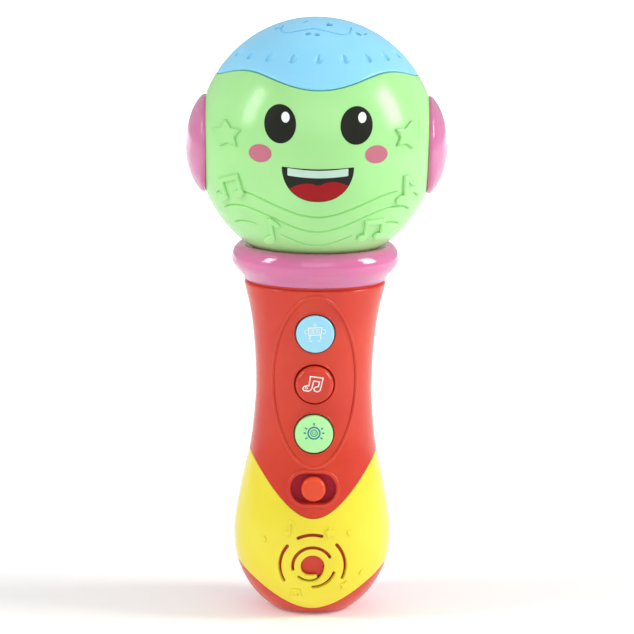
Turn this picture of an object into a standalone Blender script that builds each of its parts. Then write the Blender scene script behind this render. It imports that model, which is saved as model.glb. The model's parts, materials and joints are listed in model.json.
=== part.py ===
"""Toy microphone: a round head on a waisted handle, standing on its flat base.

Units are metres. The origin is the centre of the base, +Z runs up the handle's axis, and the
face and the buttons look towards -Y, so +X is on the right of someone who faces the toy.
"""

import math

import bmesh
import bpy
from mathutils import Vector

GAP = 0.0003  # kept between neighbours that would touch
BEYOND = 0.0400  # a cutter that starts or ends this far from the axis leaves the handle or the head
TURN_STEPS = 32

# Head: an ellipsoid of revolution, cut flat where the ears sit.
HEAD_CENTRE_Z = 0.1663
HEAD_RADIUS = 0.0420
HEAD_HALF_HEIGHT = 0.0436
HEAD_WALL = 0.0018
EAR_PLANE_X = 0.0388
EAR_Z = 0.1655
SEAM_Z = 0.1915  # between the green head and the blue cap
SEAM_DIP = 0.0008  # lower at the front and back than at the sides
SEAM_WAVE = 0.0021
SEAM_WAVES_AROUND = 4
SKIRT_LOW = 0.1865  # the cap's skirt and the diffuser end inside the head
CAP_HOLE_RADIUS = 0.0013
# (x, y) of the cap's front holes, each of which has a twin turned half round to the back
CAP_HOLES = (
    (0.0036, -0.0104),
    (-0.0022, -0.0174),
    (-0.0045, -0.0073),
    (-0.0138, -0.0077),
    (0.0149, -0.0113),
)

# Neck: a tube under the head, held by a lip at the top of the handle.
NECK_RADIUS = 0.0175
NECK_BORE = 0.0153
NECK_FLANGE_RADIUS = 0.0194
NECK_FLANGE_TOP = 0.1156
NECK_BOTTOM = 0.1136
COLLAR_BOTTOM = 0.1184

# Handle: (height, radius) of its outer skin, from the base to the top.
HANDLE_TOP = 0.1181
HANDLE_SKIN = (
    (0.0000, 0.0128),
    (0.0014, 0.0150),
    (0.0034, 0.0175),
    (0.0074, 0.0212),
    (0.0138, 0.0249),
    (0.0202, 0.0269),
    (0.0266, 0.0275),
    (0.0331, 0.0271),
    (0.0459, 0.0249),
    (0.0587, 0.0221),
    (0.0716, 0.0207),
    (0.0801, 0.0203),
    (0.0930, 0.0208),
    (0.1058, 0.0223),
    (HANDLE_TOP, 0.0251),
)
HANDLE_WALL = 0.0022
LOW_FRONT_WALL = 0.0036  # behind the speaker cover, which is let into it
LOW_FRONT_TOP = 0.0585
HANDLE_FLOOR = 0.0024
LIP_RADIUS = 0.0180
LIP_UNDERSIDE = 0.1161

# Speaker cover, seen from the front: each edge is a hyperbola, height(x).
COVER_THICKNESS = 0.0014
COVER_TOP = (0.0372, 0.0240, 1.66)  # lowest height, roundness, slope at the sides
COVER_BOTTOM = (0.00295, 0.0093, 0.85)
GRILLE_Z = 0.0201
GRILLE_HOLE_RADIUS = 0.00425
GRILLE_SLOT = 0.0011
# radius, first angle and last angle of each curved slot, in degrees from +X
GRILLE_ARCS = (
    (0.0070, 30, 190),
    (0.0079, -88, -18),
    (0.0115, -24, 43),
    (0.0115, 141, 210),
    (0.0115, 74, 117),
)

# Buttons, on the front centre line: name, height, how far each stands out, colour.
BUTTON_RADIUS = 0.0066
BUTTON_FLANGE_RADIUS = 0.0077
BUTTON_STEM_END = 0.0119  # distance of the stem's end from the handle's axis
BUTTONS = (
    ("blue", 0.1020, 0.0018, (0.30, 0.68, 0.86)),
    ("red", 0.0838, 0.0026, (0.66, 0.06, 0.05)),
    ("green", 0.0664, 0.0018, (0.48, 0.84, 0.30)),
)
RIDGE_Z = 0.0848
RIDGE_HALF_WIDTH = 0.0145
RIDGE_HALF_HEIGHT = 0.0304

# Slide switch under the buttons.
SWITCH_Z = 0.0474
SWITCH_RECESS = (0.0160, 0.0105)
SWITCH_RECESS_Y = -0.0220
SWITCH_KNOB_RADIUS = 0.00425
SWITCH_TRAVEL = 0.0030

# Inside.
BOARD_FRONT_Y = -0.0090
BOARD_THICKNESS = 0.0012
BOARD_HALF_WIDTH = 0.0115
BOARD_BOTTOM = 0.0410
BOARD_TOP = 0.1040
BOARD_SCREWS = ((-0.0093, 0.0929), (0.0093, 0.0751))
SPEAKER_FRONT_Y = -0.0155
SPEAKER_RADIUS = 0.0110
BATTERY_RADIUS = 0.0052
BATTERY_LENGTH = 0.0445
BATTERY_BOTTOM = 0.0140
BATTERY_Y = 0.0083
BATTERY_PITCH = 0.0108
TRAY_BOTTOM = 0.0084
TRAY_TOP = 0.0610
TRAY_FRONT_Y = 0.0024
DOOR_HALF_WIDTH = 0.0162
DOOR_BOTTOM = 0.0097
DOOR_TOP = 0.0620
DOOR_TAB = (0.0055, 0.0710)  # half width and top of the tab that takes the screw
DOOR_WALL = 0.0020
DOOR_SCREW_Z = 0.0662
DOOR_SCREW_FLOOR_Y = 0.0180
CASE_SCREWS = ((-0.0145, 0.1070), (0.0145, 0.1070), (-0.0153, 0.0690), (0.0153, 0.0690))
CASE_SCREW_FLOOR_Y = 0.0050
HEAD_SCREWS = ((-0.0240, 0.1430), (0.0240, 0.1430))
HEAD_SCREW_FLOOR_Y = 0.0080

GREEN = (0.45, 0.86, 0.36)
BLUE = (0.33, 0.66, 0.94)
PINK = (0.90, 0.26, 0.50)
RED = (0.67, 0.07, 0.05)
YELLOW = (0.90, 0.84, 0.12)
WHITE = (0.82, 0.82, 0.80)
STEEL = (0.60, 0.60, 0.62)


# ---------------------------------------------------------------- scene and small tools

def empty_scene():
    for old in list(bpy.data.objects):
        bpy.data.objects.remove(old, do_unlink=True)
    parts = bpy.data.collections.new("toy_microphone")
    cutters = bpy.data.collections.new("cutters")
    for collection in (parts, cutters):
        bpy.context.scene.collection.children.link(collection)
    return parts, cutters


PARTS, CUTTERS = empty_scene()


def finish_with(color, roughness=0.35, metallic=0.0, alpha=1.0):
    material = bpy.data.materials.new("finish")
    material.use_nodes = True
    shader = material.node_tree.nodes["Principled BSDF"]
    shader.inputs["Base Color"].default_value = (*color, 1.0)
    shader.inputs["Roughness"].default_value = roughness
    shader.inputs["Metallic"].default_value = metallic
    shader.inputs["Alpha"].default_value = alpha
    return material


def make_part(obj, name, material):
    """Moves an object among the parts, names it and gives it its finish."""
    obj.name = name
    obj.data.name = name
    material.name = name
    obj.data.materials.clear()
    obj.data.materials.append(material)
    for collection in list(obj.users_collection):
        collection.objects.unlink(obj)
    PARTS.objects.link(obj)
    obj.hide_render = False
    obj.display_type = "TEXTURED"
    return obj


def new_helper(name, data):
    """A hidden object: a cutter, or a shape that is joined to another."""
    obj = bpy.data.objects.new(name, data)
    CUTTERS.objects.link(obj)
    obj.hide_render = True
    obj.display_type = "WIRE"
    return obj


def cut(obj, tool):
    add_boolean(obj, tool, "DIFFERENCE")


def join(obj, tool):
    add_boolean(obj, tool, "UNION")


def keep_inside(obj, tool):
    add_boolean(obj, tool, "INTERSECT")


def add_boolean(obj, tool, operation):
    modifier = obj.modifiers.new(f"{operation.lower()} {tool.name}", "BOOLEAN")
    modifier.operation = operation
    modifier.object = tool
    modifier.solver = "EXACT"


def shade(obj):
    obj.data.shade_smooth()
    obj.data.set_sharp_from_angle(angle=math.radians(35))


def box(name, low, high):
    """A block between two corners, placed by its centre."""
    mesh = bpy.data.meshes.new(name)
    form = bmesh.new()
    bmesh.ops.create_cube(form, size=1.0)
    size = Vector(high) - Vector(low)
    bmesh.ops.scale(form, vec=size, verts=form.verts)
    form.to_mesh(mesh)
    form.free()
    obj = new_helper(name, mesh)
    obj.location = (Vector(high) + Vector(low)) / 2
    return obj


TO_FRONT = (math.pi / 2, 0, 0)  # turns local +Z to -Y
TO_BACK = (-math.pi / 2, 0, 0)  # turns local +Z to +Y


def rod(name, radius, start, end, segments=16):
    """A cylinder along X, Y or Z between two points."""
    start, end = Vector(start), Vector(end)
    mesh = bpy.data.meshes.new(name)
    form = bmesh.new()
    bmesh.ops.create_cone(
        form, cap_ends=True, segments=segments, radius1=radius, radius2=radius, depth=(end - start).length
    )
    form.to_mesh(mesh)
    form.free()
    obj = new_helper(name, mesh)
    obj.location = (start + end) / 2
    obj.rotation_euler = (end - start).to_track_quat("Z", "Y").to_euler()
    return obj


def turned(name, outline, closed, steps=TURN_STEPS, location=(0, 0, 0), rotation=(0, 0, 0)):
    """A solid of revolution about local Z. Its outline of (radius, height) runs down the outer side.

    A closed outline makes a ring. An open one starts and ends on the axis.
    """
    mesh = bpy.data.meshes.new(name)
    points = [(radius, 0.0, height) for radius, height in outline]
    edges = [(i, i + 1) for i in range(len(points) - 1)]
    if closed:
        edges.append((len(points) - 1, 0))
    mesh.from_pydata(points, edges, [])
    obj = new_helper(name, mesh)
    screw = obj.modifiers.new("turn", "SCREW")
    screw.steps = steps
    screw.render_steps = steps
    screw.use_merge_vertices = True
    screw.merge_threshold = 0.00001
    screw.use_smooth_shade = True
    obj.location = location
    obj.rotation_euler = rotation
    return obj


def extruded(name, outline, y_from, y_to, hole=None):
    """A prism along Y whose outline of (x, z) is seen from the front, with an optional hole."""
    curve = bpy.data.curves.new(name, "CURVE")
    curve.dimensions = "2D"
    curve.fill_mode = "BOTH"
    curve.extrude = abs(y_to - y_from) / 2
    for loop in (outline, hole):
        if loop is None:
            continue
        spline = curve.splines.new("POLY")
        spline.points.add(len(loop) - 1)
        for point, (x, z) in zip(spline.points, loop):
            point.co = (x, z, 0.0, 1.0)
        spline.use_cyclic_u = True
    flat = bpy.data.objects.new(name, curve)
    CUTTERS.objects.link(flat)
    bpy.context.view_layer.update()
    graph = bpy.context.evaluated_depsgraph_get()
    mesh = bpy.data.meshes.new_from_object(flat.evaluated_get(graph))
    bpy.data.objects.remove(flat, do_unlink=True)
    bpy.data.curves.remove(curve)
    form = bmesh.new()
    form.from_mesh(mesh)
    bmesh.ops.remove_doubles(form, verts=form.verts, dist=0.000001)
    bmesh.ops.recalc_face_normals(form, faces=form.faces)
    form.to_mesh(mesh)
    form.free()
    obj = new_helper(name, mesh)
    obj.rotation_euler = TO_FRONT
    obj.location = (0, (y_from + y_to) / 2, 0)
    return obj


def applied(obj):
    """The same object with its modifiers made part of its mesh."""
    bpy.context.view_layer.update()
    graph = bpy.context.evaluated_depsgraph_get()
    mesh = bpy.data.meshes.new_from_object(obj.evaluated_get(graph))
    obj.modifiers.clear()
    obj.data = mesh
    return obj


def ellipse_outline(centre_z, half_width, half_height, count=24):
    turns = [2 * math.pi * i / count for i in range(count)]
    return [(half_width * math.sin(t), centre_z + half_height * math.cos(t)) for t in turns]


def stadium_outline(centre_z, width, height, count=8):
    """A slot along X with half-round ends."""
    radius = height / 2
    outline = []
    for side, first in ((1, -90), (-1, 90)):
        for i in range(count + 1):
            turn = math.radians(first + 180 * i / count)
            outline.append(
                (side * (width / 2 - radius) + radius * math.cos(turn), centre_z + radius * math.sin(turn))
            )
    return outline


def arc_slot_outline(centre_z, radius, first, last, width, step=18):
    count = max(3, round((last - first) / step))
    turns = [math.radians(first + (last - first) * i / count) for i in range(count + 1)]
    far, near = radius + width / 2, radius - width / 2
    outer = [(far * math.cos(t), centre_z + far * math.sin(t)) for t in turns]
    inner = [(near * math.cos(t), centre_z + near * math.sin(t)) for t in turns]
    return outer + inner[::-1]


# ---------------------------------------------------------------- skins of the head and the handle

def head_arc(z_from, z_to, inset, count):
    """Points (radius, height) down the head's skin, moved inwards by inset."""
    across = HEAD_RADIUS - inset
    up = HEAD_HALF_HEIGHT - inset
    first = math.acos(max(-1.0, min(1.0, (z_from - HEAD_CENTRE_Z) / up)))
    last = math.acos(max(-1.0, min(1.0, (z_to - HEAD_CENTRE_Z) / up)))
    turns = [first + (last - first) * i / count for i in range(count + 1)]
    return [(across * math.sin(t), HEAD_CENTRE_Z + up * math.cos(t)) for t in turns]


def head_height_below(radius, inset):
    """Height of the lower half of the head's skin at a radius."""
    return HEAD_CENTRE_Z - (HEAD_HALF_HEIGHT - inset) * math.sqrt(1 - (radius / (HEAD_RADIUS - inset)) ** 2)


def handle_radius(z):
    """Radius of the handle's skin at a height, smooth through HANDLE_SKIN."""
    points = HANDLE_SKIN
    z = max(points[0][0], min(points[-1][0], z))
    k = max(i for i in range(len(points) - 1) if points[i][0] <= z)
    (z0, r0), (z1, r1) = points[k], points[k + 1]
    t = (z - z0) / (z1 - z0)
    slope_0 = skin_slope(k) * (z1 - z0)
    slope_1 = skin_slope(k + 1) * (z1 - z0)
    return (
        (2 * t**3 - 3 * t**2 + 1) * r0
        + (t**3 - 2 * t**2 + t) * slope_0
        + (-2 * t**3 + 3 * t**2) * r1
        + (t**3 - t**2) * slope_1
    )


def skin_slope(k):
    low = HANDLE_SKIN[max(k - 1, 0)]
    high = HANDLE_SKIN[min(k + 1, len(HANDLE_SKIN) - 1)]
    return (high[1] - low[1]) / (high[0] - low[0])


def handle_arc(z_low, z_high, inset, count):
    """Points (radius, height) down the handle's skin, from z_high to z_low, moved in by inset."""
    points = []
    for i in range(count + 1):
        # heights crowd towards the base, where the skin turns in quickly
        share = 1 - i / count
        z = z_low + (z_high - z_low) * share**1.35
        run = 0.0002
        rise = (handle_radius(z + run) - handle_radius(z - run)) / (2 * run)
        length = math.sqrt(1 + rise**2)
        points.append((handle_radius(z) - inset / length, z + inset * rise / length))
    return points


def hyperbola_edge(shape, x):
    lowest, roundness, slope = shape
    return lowest + math.sqrt(roundness**2 + (slope * x) ** 2) - roundness


def cover_outline(grow):
    """The speaker cover's outline seen from the front, grown by a margin."""
    half = 0.0300
    count = 14
    across = [half * (2 * i / count - 1) for i in range(count + 1)]
    top = [(x, hyperbola_edge(COVER_TOP, x) + 1.3 * grow) for x in across]
    bottom = [(x, hyperbola_edge(COVER_BOTTOM, x) - 1.2 * grow) for x in across]
    return bottom + top[::-1]


# ---------------------------------------------------------------- helpers that several parts share

def wavy_plug(name, shift, above):
    """A drum whose lower (above) or upper (below) face follows the cap's seam, moved by shift."""
    radius = 0.0460
    seam_radius = head_arc(SEAM_Z, SEAM_Z, 0, 1)[0][0]
    mesh = bpy.data.meshes.new(name)
    form = bmesh.new()
    bmesh.ops.create_cone(form, cap_ends=True, segments=TURN_STEPS, radius1=radius, radius2=radius, depth=1.0)
    bmesh.ops.poke(form, faces=[face for face in form.faces if len(face.verts) > 4])
    for vert in form.verts:
        on_seam = (vert.co.z < 0) == above
        if not on_seam:
            vert.co.z = SEAM_Z + (BEYOND if above else -BEYOND)
            continue
        height = SEAM_Z + shift
        distance = math.hypot(vert.co.x, vert.co.y)
        if distance > radius / 2:
            turn = math.atan2(vert.co.y, vert.co.x)
            wave = SEAM_DIP * math.cos(2 * turn) - SEAM_WAVE * math.cos(SEAM_WAVES_AROUND * turn)
            height += wave * radius / seam_radius
        vert.co.z = height
    bmesh.ops.recalc_face_normals(form, faces=form.faces)
    form.to_mesh(mesh)
    form.free()
    obj = new_helper(name, mesh)
    obj.rotation_euler.z = math.radians(180 / TURN_STEPS) / 2
    return obj


ABOVE_SEAM = wavy_plug("above_seam", -GAP / 2, True)
BELOW_SEAM = wavy_plug("below_seam", GAP / 2, False)
BACK_HALF_SPACE = box("back_half_space", (-0.08, -GAP / 2, -0.02), (0.08, 0.08, 0.23))
FRONT_HALF_SPACE = box("front_half_space", (-0.08, -0.08, -0.02), (0.08, GAP / 2, 0.23))


def inside_handle(inset):
    """A turned solid that fills the handle to a depth below its skin."""
    skin = handle_arc(HANDLE_FLOOR / 2, HANDLE_TOP - 0.0008, inset, 8)
    outline = [(0.0, skin[0][1])] + skin + [(0.0, skin[-1][1])]
    return turned("handle_core", outline, closed=False, steps=24)


def inside_head(inset):
    half_height = HEAD_HALF_HEIGHT - inset
    arc = head_arc(HEAD_CENTRE_Z + half_height, HEAD_CENTRE_Z - half_height, inset, 9)
    arc[0] = (0.0, arc[0][1])
    arc[-1] = (0.0, arc[-1][1])
    return turned("head_core", arc, closed=False, steps=24)


def screw_mesh(name, head_radius, head_height, shank_radius, shank_length, steps=8):
    """A pan-head screw with a cross recess: its head's underside is at local z = 0, its tip below."""
    outline = (
        (0.0, head_height),
        (head_radius * 0.78, head_height),
        (head_radius, head_height * 0.45),
        (head_radius, 0.0),
        (shank_radius, 0.0),
        (shank_radius, -shank_length),
        (0.0, -shank_length),
    )
    body = turned(name, outline, closed=False, steps=steps)
    slot = head_radius * 0.62
    half = head_radius * 0.14
    depth = head_height * 0.4
    cut(body, box(f"{name}_slot_x", (-slot, -half, depth), (slot, half, 0.01)))
    cut(body, box(f"{name}_slot_y", (-half, -slot, depth), (half, slot, 0.01)))
    mesh = applied(body).data
    bpy.data.objects.remove(body, do_unlink=True)
    return mesh


def place_screws(prefix, mesh, places, y, rotation):
    """One screw at each (x, z) of places, its head's underside at y, pointing out along rotation."""
    for number, (x, z) in enumerate(places, 1):
        screw = bpy.data.objects.new(prefix, mesh.copy())
        screw.location = (x, y, z)
        screw.rotation_euler = rotation
        make_part(screw, f"{prefix}_{number}", finish_with(STEEL, 0.3, 1.0))
        shade(screw)


# ---------------------------------------------------------------- head

def head_half(name, other_half):
    """Half of the head's shell with its half of the neck, its ear seats and its screw bosses."""
    rim = SEAM_Z + SEAM_WAVE + 0.0016
    neck_join = head_height_below(NECK_RADIUS, 0)
    bore_join = head_height_below(NECK_BORE, HEAD_WALL)
    outer = head_arc(rim, neck_join, 0, 9)
    neck = [
        (NECK_RADIUS, NECK_FLANGE_TOP),
        (NECK_FLANGE_RADIUS, NECK_FLANGE_TOP),
        (NECK_FLANGE_RADIUS, NECK_BOTTOM),
        (NECK_BORE, NECK_BOTTOM),
    ]
    inner = head_arc(rim, bore_join, HEAD_WALL, 7)
    shell = turned(name, outer + neck + inner[::-1], closed=True)
    core = inside_head(HEAD_WALL / 2)
    for number, (x, z) in enumerate(HEAD_SCREWS, 1):
        reach = BEYOND if other_half is FRONT_HALF_SPACE else -BEYOND
        boss = rod(f"{name}_boss_{number}", 0.0036, (x, 0, z), (x, reach, z))
        keep_inside(boss, core)
        join(shell, boss)
    cut(shell, other_half)
    cut(shell, ABOVE_SEAM)
    for side in (-1, 1):
        far = side * 0.06
        flat = sorted((side * EAR_PLANE_X, far))
        low, high = (flat[0], -BEYOND, EAR_Z - BEYOND), (flat[1], BEYOND, EAR_Z + BEYOND)
        cut(shell, box(f"{name}_ear_flat", low, high))
    return shell


def head_front():
    shell = head_half("head_front", BACK_HALF_SPACE)
    for x, z in HEAD_SCREWS:
        cut(shell, rod("head_pilot", 0.0016, (x, -0.0095, z), (x, 0.001, z), 12))
    make_part(shell, "head_front", finish_with(GREEN))


def head_back():
    shell = head_half("head_back", FRONT_HALF_SPACE)
    for x, z in HEAD_SCREWS:
        cut(shell, rod("head_clearance", 0.0016, (x, -0.001, z), (x, BEYOND, z), 12))
        cut(shell, rod("head_counterbore", 0.0029, (x, HEAD_SCREW_FLOOR_Y, z), (x, BEYOND, z)))
    make_part(shell, "head_back", finish_with(GREEN))


def head_cap():
    """The blue dome, with a skirt that drops inside the head and holes that let the light out."""
    top = HEAD_CENTRE_Z + HEAD_HALF_HEIGHT
    low = SEAM_Z - SEAM_DIP - SEAM_WAVE - 0.0015
    outer = head_arc(top, low, 0, 6)
    inner = head_arc(top - HEAD_WALL, low, HEAD_WALL, 5)
    outer[0] = (0.0, outer[0][1])
    inner[0] = (0.0, inner[0][1])
    dome = turned("head_cap", outer + inner[::-1], closed=False)
    cut(dome, BELOW_SEAM)
    root_top = 0.1968
    root_low = SEAM_Z + SEAM_WAVE + 0.0006
    clear = HEAD_WALL + GAP
    skirt = (
        head_arc(root_top, root_low, 0.0012, 1)
        + head_arc(root_low, SKIRT_LOW, clear, 1)
        + head_arc(root_top, SKIRT_LOW, clear + 0.0013, 1)[::-1]
    )
    join(dome, turned("cap_skirt", skirt, closed=True))
    for x, y in CAP_HOLES:
        for side in (-1, 1):
            place = (side * x, side * y)
            cut(dome, rod("cap_hole", CAP_HOLE_RADIUS, (*place, SEAM_Z), (*place, top + 0.005), 8))
    make_part(dome, "head_cap", finish_with(BLUE))


def cap_diffuser():
    outside, inside = 0.0038, 0.0048
    top = HEAD_CENTRE_Z + HEAD_HALF_HEIGHT
    low = SKIRT_LOW + 0.0010
    outer = head_arc(top - outside, low, outside, 4)
    inner = head_arc(top - inside, low, inside, 4)
    outer[0] = (0.0, outer[0][1])
    inner[0] = (0.0, inner[0][1])
    dome = turned("cap_diffuser", outer + inner[::-1], closed=False, steps=24)
    make_part(dome, "cap_diffuser", finish_with(WHITE, 0.5, 0.0, 0.8))


def ears():
    """Each ear is one hollow dome that stands on the head's flat."""
    outline = (
        (0.0, 0.0077),
        (0.0042, 0.0074),
        (0.0079, 0.0066),
        (0.0112, 0.0055),
        (0.0138, 0.0042),
        (0.0158, 0.0028),
        (0.0171, 0.0014),
        (0.0168, GAP),
        (0.0118, GAP),
        (0.0106, 0.0031),
        (0.0062, 0.0054),
        (0.0, 0.0061),
    )
    for name, side in (("ear_left", -1), ("ear_right", 1)):
        ear = turned(name, outline, closed=False, steps=24)
        ear.location = (side * EAR_PLANE_X, 0, EAR_Z)
        ear.rotation_euler = (0, side * math.pi / 2, 0)
        make_part(ear, name, finish_with(PINK, 0.15, 0.0, 0.7))


def head_lights():
    """A carrier that stands in the neck, the board on it and three upright LEDs."""
    board_top = 0.1616
    carrier = (
        (0.0120, 0.1600),
        (0.0120, 0.1584),
        (0.0075, 0.1584),
        (0.0075, 0.1210),
        (0.0149, 0.1210),
        (0.0149, 0.1186),
        (0.0058, 0.1186),
        (0.0058, 0.1600),
    )
    stand = turned("led_carrier", carrier, closed=True, steps=20)
    make_part(stand, "led_carrier", finish_with(WHITE, 0.5))
    outline = ((0.0130, board_top), (0.0130, 0.1604), (0.0020, 0.1604), (0.0020, board_top))
    board = turned("led_board", outline, closed=True, steps=24)
    make_part(board, "led_board", finish_with((0.1, 0.3, 0.12), 0.5))
    lens = (
        (0.0, 0.0086),
        (0.0018, 0.0079),
        (0.0025, 0.0060),
        (0.0025, 0.0010),
        (0.0029, 0.0010),
        (0.0029, 0.0),
        (0.0, 0.0),
    )
    from_axis = 0.0080
    tints = (
        ("led_front", -90, (0.8, 0.1, 0.1)),
        ("led_right", 30, (0.1, 0.7, 0.2)),
        ("led_left", 150, (0.1, 0.3, 0.9)),
    )
    for name, bearing, tint in tints:
        turn = math.radians(bearing)
        led = turned(name, lens, closed=False, steps=12)
        led.location = (from_axis * math.cos(turn), from_axis * math.sin(turn), board_top + GAP)
        make_part(led, name, finish_with(tint, 0.1))


def head_screws():
    mesh = screw_mesh("head_screw", 0.0025, 0.0018, 0.00125, 0.0150)
    place_screws("head_screw", mesh, HEAD_SCREWS, HEAD_SCREW_FLOOR_Y + GAP, TO_BACK)


def collar_ring():
    """A channel open at the bottom, shaped to the head above and to the handle below."""
    outline = (
        (0.0226, 0.1291),
        (0.0244, 0.1302),
        (0.0262, 0.1304),
        (0.0280, 0.1293),
        (0.0294, 0.1258),
        (0.0284, 0.1231),
        (0.0258, 0.1199),
        (0.0251, COLLAR_BOTTOM),
        (0.0237, COLLAR_BOTTOM),
        (0.0246, 0.1208),
        (0.0268, 0.1235),
        (0.0276, 0.1258),
        (0.0256, 0.1283),
        (0.0199, 0.1259),
        (0.0199, COLLAR_BOTTOM),
        (0.0182, COLLAR_BOTTOM),
        (0.0182, 0.1264),
        (0.0215, 0.1282),
    )
    make_part(turned("collar_ring", outline, closed=True), "collar_ring", finish_with(PINK, 0.12, 0.0, 0.7))


# ---------------------------------------------------------------- handle

def handle_section(wall_low):
    """The handle's hollow section, from the middle of its floor, up inside, over the lip and down."""
    inside_low = handle_arc(HANDLE_FLOOR + 0.0016, LOW_FRONT_TOP, wall_low, 5)[::-1]
    inside_high = handle_arc(LOW_FRONT_TOP + 0.0012, LIP_UNDERSIDE - 0.0006, HANDLE_WALL, 4)[::-1]
    inside_top = (inside_high[-1][0], LIP_UNDERSIDE)
    floor_edge = (inside_low[0][0] - 0.0012, HANDLE_FLOOR)
    lip = [(LIP_RADIUS, LIP_UNDERSIDE), (LIP_RADIUS, HANDLE_TOP)]
    outside = handle_arc(0.0, HANDLE_TOP, 0, 13)
    inside = [(0.0, HANDLE_FLOOR), floor_edge] + inside_low + inside_high + [inside_top]
    return inside + lip + outside + [(0.0, 0.0)]


def skin_layer(name, outside, inside):
    """A turned ring between two depths below the handle's skin, over the speaker cover's height."""
    outer = handle_arc(0.0004, 0.0640, outside, 8)
    inner = handle_arc(0.0004, 0.0640, inside, 7)
    return turned(name, outer + inner[::-1], closed=True)


def add_bosses(shell, core, places, side, radius):
    for x, z in places:
        boss = rod("boss", radius, (x, 0, z), (x, side * BEYOND, z))
        keep_inside(boss, core)
        join(shell, boss)


def oval_ridge():
    grow = 0.0005
    ring = extruded(
        "ridge",
        ellipse_outline(RIDGE_Z, RIDGE_HALF_WIDTH + grow, RIDGE_HALF_HEIGHT + grow),
        -0.030,
        -0.012,
        ellipse_outline(RIDGE_Z, RIDGE_HALF_WIDTH - grow, RIDGE_HALF_HEIGHT - grow),
    )
    proud = 0.0003
    skin = handle_arc(0.045, HANDLE_TOP, -proud, 8)
    inner = handle_arc(0.045, HANDLE_TOP, 0.0010, 4)
    keep_inside(ring, turned("ridge_skin", skin + inner[::-1], closed=True))
    return ring


def speaker_seat():
    """The short tube behind the grille that the speaker's rim rests on."""
    rest = (0, SPEAKER_FRONT_Y - GAP, GRILLE_Z)
    seat = rod("speaker_seat", SPEAKER_RADIUS + 0.0009, rest, (0, -BEYOND, GRILLE_Z), 24)
    keep_inside(seat, inside_handle(LOW_FRONT_WALL - 0.0008))
    behind, before = (0, -0.01, GRILLE_Z), (0, -BEYOND, GRILLE_Z)
    cut(seat, rod("speaker_sound_way", SPEAKER_RADIUS - 0.0016, behind, before, 24))
    return seat


def handle_front():
    shell = turned("handle_front", handle_section(LOW_FRONT_WALL), closed=False)
    core = inside_handle(HANDLE_WALL / 2)
    add_bosses(shell, core, CASE_SCREWS, -1, 0.0028)
    for x, z in BOARD_SCREWS:
        boss = rod("board_boss", 0.0021, (x, BOARD_FRONT_Y - GAP, z), (x, -BEYOND, z), 12)
        keep_inside(boss, core)
        join(shell, boss)
    join(shell, speaker_seat())
    join(shell, oval_ridge())
    cut(shell, BACK_HALF_SPACE)
    recess = skin_layer("cover_recess", -0.0010, COVER_THICKNESS + GAP)
    keep_inside(recess, extruded("recess_outline", cover_outline(GAP), -BEYOND, 0.001))
    cut(shell, recess)
    for _, z, _, _ in BUTTONS:
        cut(shell, rod("button_hole", BUTTON_RADIUS + 0.00035, (0, -BEYOND, z), (0, -0.012, z), 20))
    outline = stadium_outline(SWITCH_Z, *SWITCH_RECESS)
    cut(shell, extruded("switch_recess", outline, -BEYOND, SWITCH_RECESS_Y))
    reach = SWITCH_TRAVEL + 0.0012
    cut(shell, box("switch_slot", (-reach, -BEYOND, SWITCH_Z - 0.0018), (reach, -0.012, SWITCH_Z + 0.0018)))
    from_centre, sound_holes = 0.0070, 6
    for number in range(sound_holes):
        turn = 2 * math.pi * number / sound_holes
        x, z = from_centre * math.cos(turn), GRILLE_Z + from_centre * math.sin(turn)
        cut(shell, rod("sound_hole", 0.0011, (x, -BEYOND, z), (x, -0.012, z), 8))
    for x, z in CASE_SCREWS:
        cut(shell, rod("case_pilot", 0.0016, (x, -0.0105, z), (x, 0.001, z), 12))
    for x, z in BOARD_SCREWS:
        cut(shell, rod("board_pilot", 0.0012, (x, -0.0150, z), (x, BOARD_FRONT_Y, z), 10))
    make_part(shell, "handle_front", finish_with(RED, 0.2))


def door_outline(grow):
    half, tab_half = DOOR_HALF_WIDTH + grow, DOOR_TAB[0] + grow
    low, top, tab_top = DOOR_BOTTOM - grow, DOOR_TOP + grow, DOOR_TAB[1] + grow
    right = [(half, low), (half, top), (tab_half, top), (tab_half, tab_top)]
    return right + [(-x, z) for x, z in reversed(right)]


def handle_back():
    shell = turned("handle_back", handle_section(HANDLE_WALL), closed=False)
    add_bosses(shell, inside_handle(HANDLE_WALL / 2), CASE_SCREWS, 1, 0.0037)
    cut(shell, FRONT_HALF_SPACE)
    cut(shell, extruded("door_opening", door_outline(GAP), 0.008, BEYOND))
    for x, z in CASE_SCREWS:
        cut(shell, rod("case_clearance", 0.0016, (x, -0.001, z), (x, BEYOND, z), 12))
        cut(shell, rod("case_counterbore", 0.0029, (x, CASE_SCREW_FLOOR_Y, z), (x, BEYOND, z)))
    make_part(shell, "handle_back", finish_with(RED, 0.2))


def case_screws():
    mesh = screw_mesh("case_screw", 0.0025, 0.0018, 0.00125, 0.0140)
    place_screws("case_screw", mesh, CASE_SCREWS, CASE_SCREW_FLOOR_Y + GAP, TO_BACK)


def speaker_cover():
    """The yellow cover, flush in the front shell, with a spiral grille."""
    cover = skin_layer("speaker_cover", 0.0, COVER_THICKNESS)
    keep_inside(cover, extruded("cover_shape", cover_outline(0.0), -BEYOND, -GAP / 2))
    cut(cover, rod("grille_hole", GRILLE_HOLE_RADIUS, (0, -BEYOND, GRILLE_Z), (0, -0.015, GRILLE_Z), 24))
    for radius, first, last in GRILLE_ARCS:
        outline = arc_slot_outline(GRILLE_Z, radius, first, last, GRILLE_SLOT)
        cut(cover, extruded("grille_slot", outline, -BEYOND, -0.012))
    make_part(cover, "speaker_cover", finish_with(YELLOW, 0.2))


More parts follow.
